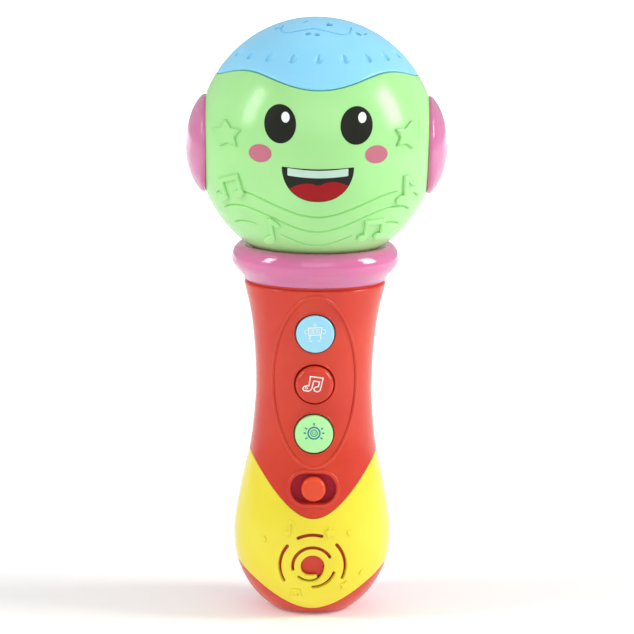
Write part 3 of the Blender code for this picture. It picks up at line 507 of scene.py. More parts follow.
def edge_height(shape, x):
    """Height of one of the speaker cover's edges at x, both in metres."""
    lowest, roundness, slope = shape
    return lowest * MM + np.sqrt((roundness * MM) ** 2 + (slope * x) ** 2) - roundness * MM


def edge_at_turn(shape, turn):
    """The same edge's height at a turn round the handle."""
    z = edge_height(shape, 20 * MM * np.sin(turn))
    for _ in range(30):
        z = 0.5 * z + 0.5 * edge_height(shape, handle_radius(z) * np.sin(turn))
    return z


# Columns of a half shell, from one parting face to the other, closer together near them.
def half_columns(count, reference):
    close = np.array([0.0, 0.06, 0.14, 0.24, 0.36, 0.6]) * MM / (reference * math.pi / 2)
    inner = 1 - close[-1]
    middle = np.linspace(-inner, inner, count)[1:-1]
    return np.concatenate([-1 + close, middle, 1 - close[::-1]])


def half_turns(share, radius, back=False):
    """Turns of the columns at a radius, so that the last ones lie close to the parting plane."""
    end = math.pi / 2 - np.arcsin(np.clip(PARTING_GAP / 2 / np.maximum(radius, GAP), 0, 1))
    return share * end + (math.pi if back else 0.0)


def parting_lip(share, radius, amount):
    return lip((1 - np.abs(share)) * radius * math.pi / 2, amount)


# ---- outlines, in mm

def ellipse(x, z, half_width, half_height, count=48):
    turns = turns_round(count)
    return [((x + half_width * math.cos(t)) * MM, (z + half_height * math.sin(t)) * MM) for t in turns]


def scaled(points):
    return [(x * MM, z * MM) for x, z in points]


def box_corners(half_width, half_height, middle=0.0):
    low, high = middle - half_height, middle + half_height
    return [(-half_width, low), (half_width, low), (half_width, high), (-half_width, high)]


def star(radius, waist=0.56, tilt=0.0, x=0.0, z=0.0):
    points = []
    for i in range(10):
        reach = radius if i % 2 == 0 else radius * waist
        turn = math.radians(90 + tilt + 36 * i)
        points.append(((x + reach * math.cos(turn)) * MM, (z + reach * math.sin(turn)) * MM))
    return soft_corners(points, 0.35 * MM)


def soft_corners(points, radius, steps=3):
    """A closed outline with each corner rounded."""
    result = []
    for i, point in enumerate(points):
        result += corner_arc(points[i - 1], point, points[(i + 1) % len(points)], radius, 0.4, steps)
    return result


def arc(x, z, radius, turns):
    return [(x + radius * math.cos(t), z + radius * math.sin(t)) for t in turns]


def stadium(x, z, width, height, count=14):
    radius = height / 2
    points = []
    for side, first in ((1, -90), (-1, 90)):
        turns = [math.radians(first + 180 * i / count) for i in range(count + 1)]
        points += arc(x + side * (width / 2 - radius), z, radius, turns)
    return scaled(points)


def arc_slot(x, z, radius, first, last, width, step=5):
    """A curved slot with round ends."""
    count = max(3, round((last - first) / step))
    turns = np.radians(np.linspace(first, last, count + 1))
    caps = []
    for end, first_turn in ((turns[-1], turns[-1]), (turns[0], turns[0] + math.pi)):
        centre = arc(x, z, radius, [end])[0]
        caps.append(arc(*centre, width / 2, [first_turn + math.pi * k / 6 for k in range(1, 6)]))
    outer, inner = arc(x, z, radius + width / 2, turns), arc(x, z, radius - width / 2, turns)
    return scaled(outer + caps[0] + inner[::-1] + caps[1])


def stroke(points, width, closed=False):
    """The outline, or the outline and hole, of a line of some width through points in mm."""
    path = [Vector(point) for point in points]
    count = len(path)
    left, right = [], []
    for i, here in enumerate(path):
        before = path[i - 1] if (closed or i > 0) else here
        after = path[(i + 1) % count] if (closed or i < count - 1) else here
        a = (here - before).normalized() if (here - before).length else (after - here).normalized()
        b = (after - here).normalized() if (after - here).length else a
        side = (Vector((-a.y, a.x)) + Vector((-b.y, b.x))).normalized()
        reach = width / 2 / max(0.45, side.dot(Vector((-a.y, a.x))))
        left.append(tuple(here + side * reach))
        right.append(tuple(here - side * reach))
    if closed:
        return [scaled(left), scaled(right)]
    return [scaled(left + right[::-1])]


# Marks: each is a list of solids, and each solid is a list of loops in mm.
def note_parts(size, double, lean=0.0):
    """The parts of a music note: oval heads, stems, and a beam or a flag."""
    turn = math.radians(lean)

    def placed(loop):
        c, s = size * MM * math.cos(turn), size * MM * math.sin(turn)
        return [(x * c - z * s, x * s + z * c) for x, z in loop]

    def oval(x, z, a, b):
        c, s = math.cos(0.35), math.sin(0.35)
        around = [(a * math.cos(t), b * math.sin(t)) for t in turns_round(28)]
        return [(x + u * c - v * s, z + u * s + v * c) for u, v in around]

    if double:
        return [
            placed(oval(-2.5, -2.6, 1.55, 1.25)),
            placed(oval(2.3, -2.1, 1.55, 1.25)),
            placed([(-2.2, -2.6), (-1.1, -2.6), (-1.1, 2.9), (-2.2, 2.7)]),
            placed([(2.6, -2.0), (3.7, -2.0), (3.7, 3.7), (2.6, 3.5)]),
            placed([(-2.2, 1.7), (3.7, 2.3), (3.7, 3.8), (-2.2, 3.2)]),
        ]
    return [
        placed(oval(-0.6, -3.0, 1.65, 1.3)),
        placed([(-0.1, -3.0), (1.0, -3.0), (1.0, 3.7), (-0.1, 3.7)]),
        placed([(-0.1, 3.7), (-0.1, 2.3), (1.4, 1.5), (2.6, 0.3), (3.0, 0.9), (2.5, 2.2), (1.0, 3.7)]),
    ]


def relief(name, loops_of_parts, mapping, height, sink=0.3 * MM, bevel=0.2 * MM):
    """A raised mark: its parts are made flat, merged, and then bent onto the skin."""
    plates = [flat_plate(name, [loop], -sink, height, bevel, 0.8 * MM) for loop in loops_of_parts]
    mark = plates[0]
    if len(plates) > 1:
        combine(mark, plates[1:], "UNION")
    return bend(mark, mapping)


def printed(name, loops, mapping, height, sink=0.12 * MM, cell=0.8 * MM):
    """A printed area: a very thin plate bent onto the skin."""
    return bend(flat_plate(name, loops, -sink, height, 0.0, cell), mapping)


# ---- materials

def linear(r, g, b):
    """A colour given in 0 to 255 display values, as scene-linear values."""
    shares = [c / 255 for c in (r, g, b)]
    return tuple(((c + 0.055) / 1.055) ** 2.4 if c > 0.04045 else c / 12.92 for c in shares) + (1.0,)


def node_material(name, colour, second=None, roughness=(0.2, 0.3), **settings):
    """A Principled material whose colour and roughness vary softly, with a fine and a broad bump.

    settings: bump (metres), grain (per metre), broad (per metre), and any constant socket by name.
    """
    bump = settings.pop("bump", 0.00001)
    grain = settings.pop("grain", 1800.0)
    broad = settings.pop("broad", 90.0)
    material = bpy.data.materials.new(name)
    material.use_nodes = True
    nodes, links = material.node_tree.nodes, material.node_tree.links
    shader = nodes["Principled BSDF"]
    place = nodes.new("ShaderNodeTexCoord")

    def noise(scale, detail=3.0):
        node = nodes.new("ShaderNodeTexNoise")
        node.inputs["Scale"].default_value = scale
        node.inputs["Detail"].default_value = detail
        links.new(place.outputs["Object"], node.inputs["Vector"])
        return node

    def ranged(source, low, high):
        node = nodes.new("ShaderNodeMapRange")
        node.inputs["From Min"].default_value = 0.3
        node.inputs["From Max"].default_value = 0.7
        node.inputs["To Min"].default_value = low
        node.inputs["To Max"].default_value = high
        links.new(source, node.inputs["Value"])
        return node.outputs["Result"]

    clouds = noise(broad)
    mix = nodes.new("ShaderNodeMix")
    mix.data_type = "RGBA"
    mix.inputs["A"].default_value = colour
    mix.inputs["B"].default_value = second or tuple(0.9 * c for c in colour[:3]) + (1.0,)
    links.new(ranged(clouds.outputs["Fac"], 0.0, 1.0), mix.inputs["Factor"])
    links.new(mix.outputs["Result"], shader.inputs["Base Color"])
    specks = noise(grain * 0.35, 2.0)
    links.new(ranged(specks.outputs["Fac"], *roughness), shader.inputs["Roughness"])
    fine = noise(grain, 2.0)
    wide = noise(broad * 1.7, 1.0)
    height = nodes.new("ShaderNodeMath")
    height.operation = "MULTIPLY_ADD"
    height.inputs[1].default_value = 3.0
    links.new(wide.outputs["Fac"], height.inputs[0])
    links.new(fine.outputs["Fac"], height.inputs[2])
    relief_node = nodes.new("ShaderNodeBump")
    relief_node.inputs["Strength"].default_value = 1.0
    relief_node.inputs["Distance"].default_value = bump
    links.new(height.outputs["Value"], relief_node.inputs["Height"])
    links.new(relief_node.outputs["Normal"], shader.inputs["Normal"])
    for socket, value in settings.items():
        shader.inputs[socket.replace("_", " ")].default_value = value
    return material


def plastic(name, colour, second=None, roughness=(0.16, 0.26), **settings):
    """Glossy moulded plastic: a little light travels under its skin."""
    values = {
        "Subsurface Weight": 0.15,
        "Subsurface Scale": 0.0015,
        "Subsurface Radius": (1.0, 0.8, 0.6),
        "Specular IOR Level": 0.36,
        "IOR": 1.5,
    }
    values.update(settings)
    return node_material(name, colour, second, roughness, **values)


def clear_plastic(name, colour, second, **settings):
    values = {
        "Transmission Weight": 0.42,
        "IOR": 1.45,
        "Subsurface Weight": 0.3,
        "Subsurface Scale": 0.003,
        "Coat Weight": 0.6,
        "Coat Roughness": 0.03,
    }
    values.update(settings)
    return node_material(name, colour, second, (0.05, 0.12), **values)


def ink(name, colour, second=None, roughness=(0.28, 0.4)):
    return node_material(name, colour, second, roughness, bump=0.000004, grain=5000.0, Specular_IOR_Level=0.2)


def looks(maker, table):
    """Materials from rows of name: (display colour, second display colour or None, roughness, settings)."""
    made = {}
    for name, (colour, second, *rest) in table.items():
        settings = rest.pop() if rest and isinstance(rest[-1], dict) else {}
        made[name] = maker(name, linear(*colour), second and linear(*second), *rest, **settings)
    return made


SATIN, DULL, BROAD = (0.4, 0.55), (0.45, 0.6), {"broad": 45.0}
LOOKS = looks(plastic, {
    "green_plastic": ((172, 234, 154), (166, 229, 147), BROAD),
    "blue_plastic": ((148, 220, 253), (142, 215, 251), (0.29, 0.36), {"broad": 40.0}),
    "white_plastic": ((226, 226, 224), None, SATIN),
    "red_plastic": ((216, 70, 42), (206, 56, 42), BROAD),
    # painted light: a lighter copy of red_plastic for the knob, standing in for the light that falls on it
    "knob_red": ((236, 84, 44), (228, 74, 40)),
    "yellow_plastic": ((240, 226, 68), (236, 220, 54), BROAD),
    "button_blue": ((166, 226, 246), (156, 220, 243)),
    "button_green": ((184, 247, 172), (176, 243, 162)),
    "silicone": ((214, 214, 210), None, DULL),
    "capacitor_sleeve": ((40, 44, 110), None, (0.29, 0.38)),
    "wire_grey": ((110, 110, 114), None, SATIN),
    "wire_red": ((190, 34, 30), None, SATIN),
    "wire_black": ((34, 34, 36), None, SATIN),
})
LOOKS |= looks(clear_plastic, {
    "pink_translucent": ((255, 152, 206), (255, 140, 198)),
    "led_red": ((230, 70, 70), (220, 60, 60)),
    "led_green": ((70, 210, 100), (60, 200, 90)),
    "led_blue": ((70, 110, 230), (60, 100, 220)),
})
LOOKS |= looks(node_material, {
    "circuit_board": ((30, 104, 52), (20, 84, 40), (0.3, 0.5), {"broad": 700.0}),
    "black_plastic": ((30, 30, 32), (38, 38, 40), SATIN),
    "speaker_paper": ((34, 33, 32), (46, 45, 43), (0.8, 0.95), {"bump": 0.00005}),
    "battery_wrap": ((52, 56, 66), (44, 48, 58), (0.29, 0.38), {"Metallic": 0.6}),
    "screw_steel": ((176, 176, 180), None, (0.29, 0.42), {"Metallic": 1.0}),
    "contact_steel": ((190, 188, 184), None, (0.29, 0.4), {"Metallic": 1.0}),
    "magnet": ((96, 96, 100), None, (0.3, 0.45), {"Metallic": 1.0}),
})
INKS = looks(ink, {
    "ink_black": ((32, 34, 26), None),
    "ink_white": ((248, 252, 250), None),
    "ink_teeth": ((202, 232, 213), None),
    "ink_tongue": ((166, 14, 22), None),
    "ink_cheek": ((199, 117, 135), None),
    "ink_blue": ((34, 136, 154), None),
    # painted shade: a dark crimson for a thin sheet on the switch recess's floor, in place of the shadow there
    "ink_well": ((168, 14, 40), None, (0.3, 0.42)),
})


def finish_piece(obj, name, slot_name, body="housing", replaced=(), material=None, angle=38):
    """Names a piece, gives it its material, and ties it to the frame."""
    obj.name = name
    obj.data.name = name
    obj.data.materials.clear()
    obj.data.materials.append(material or LOOKS[slot_name])
    obj.data.shade_smooth()
    obj.data.set_sharp_from_angle(angle=math.radians(angle))
    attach(obj, body)
    if replaced:
        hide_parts(*replaced)
    return obj


# ---- head

def head_row_heights(turn):
    """Heights of the head's rows, from the seam to the neck, for each column."""
    near_seam = np.array([0.0, 0.06, 0.14, 0.24, 0.36, 0.55, 0.9]) * MM
    near_groove = np.array([0.9, 0.6, 0.46, 0.36, 0.26, 0.16, 0.08]) * MM
    rows = [seam_height(turn) - GAP / 2 - step for step in near_seam]
    for level, wave, _ in GROOVES:
        middle = level * MM - wave * MM * np.cos(4 * turn)
        start = rows[-1]
        count = 34 if level == GROOVES[0][0] else 4
        for i in range(1, count):
            rows.append(start + (middle + near_groove[0] - start) * i / count)
        rows += [middle + step for step in near_groove]
        rows.append(middle)
        rows += [middle - step for step in near_groove[::-1]]
    start = rows[-1]
    bottom = 126.8 * MM
    for i in range(1, 15):
        rows.append(start + (bottom - start) * i / 14)
    return rows


def groove_depth(turn, z):
    """Depth of the wavy grooves. The back has the same ones as the front."""
    folded = np.degrees(np.arctan2(np.sin(turn), np.abs(np.cos(turn))))
    depth = np.zeros(np.broadcast(turn, z).shape)
    tilt = HEAD_RADIUS / HEAD_HALF_HEIGHT * (z - HEAD_CENTRE_Z) / HEAD_HALF_HEIGHT
    stretch = np.sqrt(1 + tilt**2 / (1 - np.clip((z - HEAD_CENTRE_Z) / HEAD_HALF_HEIGHT, -0.99, 0.99) ** 2))
    for level, wave, spans in GROOVES:
        middle = level * MM - wave * MM * np.cos(4 * turn)
        slant = 4 * wave * MM * np.sin(4 * turn) / head_radius(z)
        distance = np.abs(z - middle) * stretch / np.sqrt(1 + slant**2)
        shape = np.where(
            distance < GROOVE_HALF_WIDTH, 0.5 + 0.5 * np.cos(math.pi * distance / GROOVE_HALF_WIDTH), 0.0
        )
        present = np.zeros_like(folded)
        for first, last in spans:
            present = np.maximum(present, smooth((folded - first) / 1.5) * smooth((last - folded) / 1.5))
        depth = np.maximum(depth, GROOVE_DEPTH * shape * present)
    return depth


def ring_row(turn, radius, z):
    turn, radius, z = np.broadcast_arrays(turn, radius, z)
    return np.stack([radius * np.sin(turn), -radius * np.cos(turn), z], axis=-1)


def head_shell(back):
    share = half_columns(170, HEAD_RADIUS)
    nominal = share * math.pi / 2 + (math.pi if back else 0.0)
    outer, inner = [], []
    for z in head_row_heights(nominal):
        turn = half_turns(share, head_radius(z), back)
        depth = np.maximum(lip(seam_height(nominal) - GAP / 2 - z, 0.5 * MM), groove_depth(turn, z))
        depth = np.maximum(depth, parting_lip(share, head_radius(z), 0.22 * MM))
        outer.append(head_surface(turn, z, -depth))
        inner.append(head_surface(turn, z, -HEAD_WALL))
    neck = (
        (NECK_RADIUS, NECK_BORE, 126.2 * MM),
        (NECK_RADIUS, NECK_BORE, NECK_FLANGE_TOP),
        (NECK_FLANGE_RADIUS, NECK_BORE, NECK_FLANGE_TOP - 0.01 * MM),
        (NECK_FLANGE_RADIUS, NECK_BORE, NECK_BOTTOM),
    )
    for outside, inside, z in neck:
        outer.append(ring_row(half_turns(share, outside, back), outside, z))
        inner.append(ring_row(half_turns(share, inside, back), inside, z))
    return thick_sheet("head_shell", outer, inner)


def screw_hole(x, z, floor, end):
    """Cutters for a stepped hole along Y: the head's, down to its floor, and the shank's."""
    return [
        rod(SCREW_HOLE, (x * MM, floor, z * MM), (x * MM, end, z * MM)),
        rod(SHANK_HOLE, (x * MM, -MM, z * MM), (x * MM, end, z * MM), 24),
    ]


def head_core():
    """A low solid that ends half way through the head's wall, to trim what joins it from inside."""
    turns = np.linspace(0, math.pi, 40)
    inset = HEAD_WALL / 2
    radius, height = HEAD_RADIUS - inset, HEAD_HALF_HEIGHT - inset
    outline = [(radius * math.sin(t), HEAD_CENTRE_Z + height * math.cos(t)) for t in turns]
    outline[0], outline[-1] = (0.0, outline[0][1]), (0.0, outline[-1][1])
    return turned("core", outline, 96)


def head():
    finish_piece(head_shell(False), "head_front_shell", "green_plastic", replaced=["head_front"])
    shell = head_shell(True)
    bosses = []
    for x, z in HEAD_SCREWS:
        boss = rod(3.6 * MM, (x * MM, GAP, z * MM), (x * MM, 0.04, z * MM))
        bosses.append(combine(boss, [head_core()], "INTERSECT"))
    combine(shell, bosses, "UNION")
    cuts = []
    for x, z in HEAD_SCREWS:
        cuts += screw_hole(x, z, HEAD_SCREW_FLOOR_Y, BEYOND)
    combine(shell, cuts, "DIFFERENCE")
    finish_piece(shell, "head_back_shell", "green_plastic", replaced=["head_back"])


def dimple_depth(turn, z):
    """The ring of teardrop dimples round the cap, each with its point upwards."""
    spacing = 2 * math.pi / DIMPLES
    offset = (turn + spacing / 2) % spacing - spacing / 2
    across = offset * head_radius(z)
    stretch = 1.35  # length along the skin for each unit of height there
    share = np.clip(((z - DIMPLE_Z) * stretch + DIMPLE_SIZE[1] / 2) / DIMPLE_SIZE[1], 0.0, 1.0)
    outline = np.sqrt(share) * (1 - share) / 0.385
    half = np.maximum(DIMPLE_SIZE[0] / 2 * outline, 1e-7)
    inside = np.clip(1 - (across / half) ** 2, 0.0, 1.0)
    return 0.95 * MM * inside**0.4 * np.sqrt(np.clip(outline, 0, 1)) * (share > 0) * (share < 1)


def head_cap():
    columns = 640
    turn = turns_round(columns)
    near_seam = np.array([0.0, 0.06, 0.14, 0.24, 0.36, 0.6, 1.0]) * MM
    seam = seam_height(turn) + GAP / 2
    heights = [seam + step for step in near_seam]
    level = 196.2 * MM
    start = heights[-1]
    heights += [start + (level - start) * i / 8 for i in range(1, 9)]
    top_of_dimples = 200.3 * MM
    heights += [np.full(columns, z) for z in np.linspace(level, top_of_dimples, 32)[1:]]
    rise = math.asin((top_of_dimples - HEAD_CENTRE_Z) / HEAD_HALF_HEIGHT)
    for angle in np.linspace(rise, math.pi / 2, 30)[1:]:
        heights.append(np.full(columns, HEAD_CENTRE_Z + HEAD_HALF_HEIGHT * math.sin(angle)))
    outer, inner = [], []
    for z in heights:
        depth = np.maximum(lip(z - seam, 0.5 * MM), dimple_depth(turn, z))
        outer.append(head_surface(turn, z, -depth))
        inner.append(head_surface(turn, z, -HEAD_WALL))
    cap = thick_sheet("cap", outer, inner, wrap=True)
    combine(cap, cap_holes() + cap_line(), "DIFFERENCE")
    finish_piece(cap, "cap_dome", "blue_plastic", replaced=["head_cap"])
    skirt = [
        (head_radius(196.8 * MM) - 3.0 * MM, 196.8 * MM),
        (head_radius(193.0 * MM) - 2.1 * MM, 193.0 * MM),
        (head_radius(186.5 * MM) - 2.1 * MM, 186.5 * MM),
        (head_radius(186.5 * MM) - 3.4 * MM, 186.5 * MM),
        (head_radius(193.0 * MM) - 3.4 * MM, 193.0 * MM),
        (head_radius(196.8 * MM) - 4.3 * MM, 196.8 * MM),
    ]
    finish_piece(turned("skirt", skirt, 128), "cap_skirt", "blue_plastic")


def on_top(loop, x, y, turn=0.0):
    """A loop of (x, z) laid down as (x, y) on top of the head."""
    c, s = math.cos(math.radians(turn)), math.sin(math.radians(turn))
    return [(x * MM + a * c - b * s, y * MM + a * s + b * c) for a, b in loop]


def cap_holes():
    """Prisms for the holes in the cap: notes, stars and drops, the same in front and behind."""
    shapes = []
    for half in (0, 180):
        places = (
            (star(1.9), 3.6, -10.4, 10),
            (stadium(0, 0, 2.6, 1.3), -4.5, -7.3, 35),
            (stadium(0, 0, 2.8, 1.4), -13.8, -7.7, -25),
            (ellipse(0, 0, 1.3, 1.0, 20), 13.6, -12.3, 0),
            (stadium(0, 0, 3.2, 1.1), 15.9, -10.2, 62),
            (ellipse(0, 0, 1.2, 0.9, 20), -3.6, -17.2, 0),
            (ellipse(0, 0, 1.2, 0.9, 20), -0.6, -18.0, 0),
        )
        side = -1 if half else 1
        for loop, x, y, turn in places:
            outline = on_top(loop, x * side, y * side, turn + half)
            shapes.append(flat_plate("hole", [outline], 190 * MM, 215 * MM, cell=1.0))
    return shapes


def cap_line():
    """Round tools that engrave the long wavy line on the cap's front and back."""
    corners = (
        (-12.1, -6.1), (-12.8, -10.7), (-11.0, -14.1), (-6.2, -14.7), (-1.7, -14.2),
        (2.4, -15.6), (6.9, -16.5), (10.2, -14.8), (11.4, -8.9),
    )
    tools = []
    for side in (1, -1):
        route = catmull([Vector((side * x * MM, side * y * MM, 0)) for x, y in corners], 5)
        points, normals = [], []
        for p in route:
            turn = math.atan2(p.x, -p.y)
            up = math.sqrt(max(0.0, 1 - (p.x**2 + p.y**2) / HEAD_RADIUS**2))
            z = HEAD_CENTRE_Z + HEAD_HALF_HEIGHT * up
            points.append(head_surface(turn, z))
            normals.append((head_surface(turn, z, MM) - head_surface(turn, z)) / MM)
        tools.append(bead("line", points, normals, 0.38 * MM, 0.8 * MM, sink=0.36 * MM, closed=False, sides=6))
    return tools


def catmull(points, per_span):
    """A smooth route through points."""
    padded = [2 * points[0] - points[1]] + list(points) + [2 * points[-1] - points[-2]]
    route = []
    for a, b, c, d in zip(padded, padded[1:], padded[2:], padded[3:]):
        for i in range(per_span):
            t = i / per_span
            linear_term, square, cube = c - a, 2 * a - 5 * b + 4 * c - d, 3 * b - a - 3 * c + d
            route.append(0.5 * (2 * b + linear_term * t + square * t**2 + cube * t**3))
    return route + [points[-1]]


def head_marks():
    """Raised stars and notes on the head, in front and behind."""
    places = (
        ([star(5.1, 0.52, 6)], -30.9, 172.2),
        ([star(5.1, 0.52, -14)], 30.6, 172.4),
        (note_parts(1.2, True, 17), -30.0, 153.6),
        (note_parts(1.3, False), 29.6, 153.9),
        (note_parts(1.25, False, 12), -16.0, 139.4),
        (note_parts(1.15, True, -4), 18.6, 139.6),
    )
    marks = []
    for parts, x, z in places:
        for side in (1, -1):
            if side == -1 and z < 145:
                continue  # the screws are there

            def mapping(across, up, lift, side=side, x=x, z=z):
                points = front_of_head(across + x * MM, up + z * MM, lift)
                return points * np.array([side, side, 1.0])

            marks.append(relief("mark", parts, mapping, 1.0 * MM, bevel=0.4 * MM))
    finish_piece(joined("marks", marks), "head_marks", "green_plastic")


def face():
    """The printed face: eyes, cheeks and an open smiling mouth."""
    under, over = 0.05 * MM, 0.08 * MM  # heights of the two layers of ink

    def put(name, loops, height, colour):
        prints = [printed(name, [loop], front_of_head, height) for loop in loops]
        finish_piece(joined(name, prints), name, "green_plastic", material=INKS[f"ink_{colour}"])

    put("face_eyes", [ellipse(-13.0, 177.3, 5.4, 6.5), ellipse(13.0, 177.0, 5.5, 6.4)], under, "black")
    put("face_glints", [ellipse(-11.2, 179.6, 1.4, 1.8), ellipse(14.9, 179.6, 1.4, 1.8)], over, "white")
    put("face_cheeks", [ellipse(-19.7, 167.0, 3.9, 3.1), ellipse(19.9, 167.0, 3.9, 3.1)], under, "cheek")
    put("face_mouth", [mouth_outline()], under, "black")
    put("face_teeth", [band(10.35, teeth_top, teeth_bottom)], over, "teeth")
    put("face_tongue", [tongue_outline()], over, "tongue")


MOUTH_HALF_WIDTH = 12.3
MOUTH_TOP = 162.9
MOUTH_BOTTOM = 150.7


def mouth_low(x, inset=0.0):
    """Height of the mouth's lower edge at x, in mm."""
    share = min(1.0, abs(x) / (MOUTH_HALF_WIDTH - inset))
    return MOUTH_TOP - (MOUTH_TOP - MOUTH_BOTTOM - inset) * (1 - share**2.25) ** 0.5


def mouth_high(x):
    return MOUTH_TOP - 0.6 * math.cos(math.pi * x / 2 / MOUTH_HALF_WIDTH)


def mouth_outline():
    across = [-MOUTH_HALF_WIDTH * math.cos(t) for t in np.linspace(0, math.pi, 30)]
    low = [(x, mouth_low(x)) for x in across]
    high = [(x, mouth_high(x)) for x in np.linspace(MOUTH_HALF_WIDTH, -MOUTH_HALF_WIDTH, 16)[1:-1]]
    return soft_corners(scaled(low + high), 0.25 * MM, 2)


def teeth_top(x):
    return 162.55 - 0.75 * math.cos(math.pi * x / 21)


def teeth_bottom(x):
    return 159.95 - 0.75 * math.cos(math.pi * x / 21)


def band(half_width, high, low):
    across = np.linspace(-half_width, half_width, 20)
    edge = [(x, low(x)) for x in across] + [(x, high(x)) for x in across[::-1]]
    return soft_corners(scaled(edge), 0.3 * MM, 2)


def tongue_outline():
    """Two lobes above, and the mouth's lower edge below."""
    left, right = -9.6, 10.4
    across = np.linspace(left, right, 26)
    low = [(x, mouth_low(x, 0.15) + 0.1) for x in across]

    def high(x):
        first = 157.3 - 0.06 * (x + 3.6) ** 2
        second = 157.9 - 0.06 * (x - 5.2) ** 2
        return max(first, second)

    top = [(x, max(high(x), mouth_low(x, 0.15) + 0.12)) for x in across[::-1]]
    return scaled(low + top)


def ears():
    """Each ear is a clear domed cup on a rim, fluted inside, so that it catches the light in facets."""
    outside = soft_curve([
        (0.0, 7.7), (4.2, 7.4), (7.9, 6.6), (11.2, 5.5), (13.8, 4.2),
        (15.7, 2.9), (16.9, 1.7), (17.1, 0.9), (16.9, 0.3),
    ])
    inside = soft_curve([(0.0, 5.6), (4.0, 5.3), (7.2, 4.6), (9.9, 3.5), (11.2, 2.2), (11.6, 1.0), (11.7, 0.3)])
    steps = 144
    turn = turns_round(steps)
    outer_curve = resampled(outside, 48)
    inner_curve = resampled(inside, 48)
    for name, side in (("ear_left", -1), ("ear_right", 1)):
        outer, inner = [], []
        for (r0, h0), (r1, h1) in zip(outer_curve, inner_curve):
            flute = 1 + 0.06 * np.cos(12 * turn) * min(1.0, r1 / 6.0)
            outer.append(ear_row(side, turn, np.full(steps, r0), np.full(steps, h0)))
            inner.append(ear_row(side, turn, r1 * flute, np.full(steps, h1)))
        dome = thick_sheet(name, outer, inner, wrap=True)
        finish_piece(dome, f"{name}_cup", "pink_translucent", replaced=[name])


def resampled(curve, count):
    """Points at even distances along a curve."""
    curve = np.asarray(curve, float)
    steps = np.concatenate([[0.0], np.cumsum(np.linalg.norm(np.diff(curve, axis=0), axis=1))])
    wanted = np.linspace(0, steps[-1], count)
    return np.stack([np.interp(wanted, steps, curve[:, k]) for k in range(2)], axis=1)


def ear_row(side, turn, radius, height):
    x = side * (EAR_PLANE_X + height * MM - EAR_SINK)
    return np.stack([x, radius * MM * np.cos(turn), EAR_Z + radius * MM * np.sin(turn)], axis=-1)


def collar():
    """The rolled ring under the head. Its inner wall has arches, which show through the clear plastic."""
    outside = [
        (18.3, 126.5), (20.4, 127.6), (21.6, 128.3), (22.6, 129.1), (23.5, 129.8), (24.6, 130.3), (25.8, 130.5),
        (27.1, 130.1), (28.3, 129.0), (29.1, 127.5), (29.45, 125.8), (29.2, 124.4), (28.4, 122.9), (27.1, 121.3),
        (26.0, 120.0), (25.4, 119.2), (25.1, 118.45),
    ]
    inside = [
        (18.3, 118.45), (19.8, 118.5), (19.9, 122.0), (20.0, 125.6), (22.5, 126.9), (25.0, 127.8), (26.6, 127.6),
        (27.4, 126.4), (27.5, 125.2), (26.9, 123.8), (26.0, 122.3), (25.0, 120.9), (24.1, 119.6), (23.8, 118.45),
    ]
    steps = 240
    turn = turns_round(steps)
    arches = np.abs(np.cos(4 * turn)) ** 0.7
    outer, inner = [], []
    outer_curve = resampled(soft_curve(outside), 64)
    inner_curve = resampled(soft_curve(inside), 64)
    for k, ((r0, z0), (r1, z1)) in enumerate(zip(outer_curve, inner_curve)):
        on_wall = smooth((k / 63 - 0.45) / 0.15) * smooth((0.98 - k / 63) / 0.1)
        outer.append(ring_row(turn, r0 * MM, np.full(steps, z0 * MM)))
        inner.append(ring_row(turn, (r1 - 1.4 * on_wall * arches) * MM, np.full(steps, z1 * MM)))
    ring = thick_sheet("collar", outer, inner, wrap=True)
    finish_piece(ring, "collar_roll", "pink_translucent", replaced=["collar_ring"])


def soft_curve(points, per_span=5):
    return [tuple(p) for p in catmull([Vector(p) for p in points], per_span)]


# ---- handle

TOP_EDGE = 0.7 * MM
BASE_EDGE = 0.7 * MM


def skin_rows(upper, lower, count):
    return [upper + (lower - upper) * i / count for i in range(1, count)]


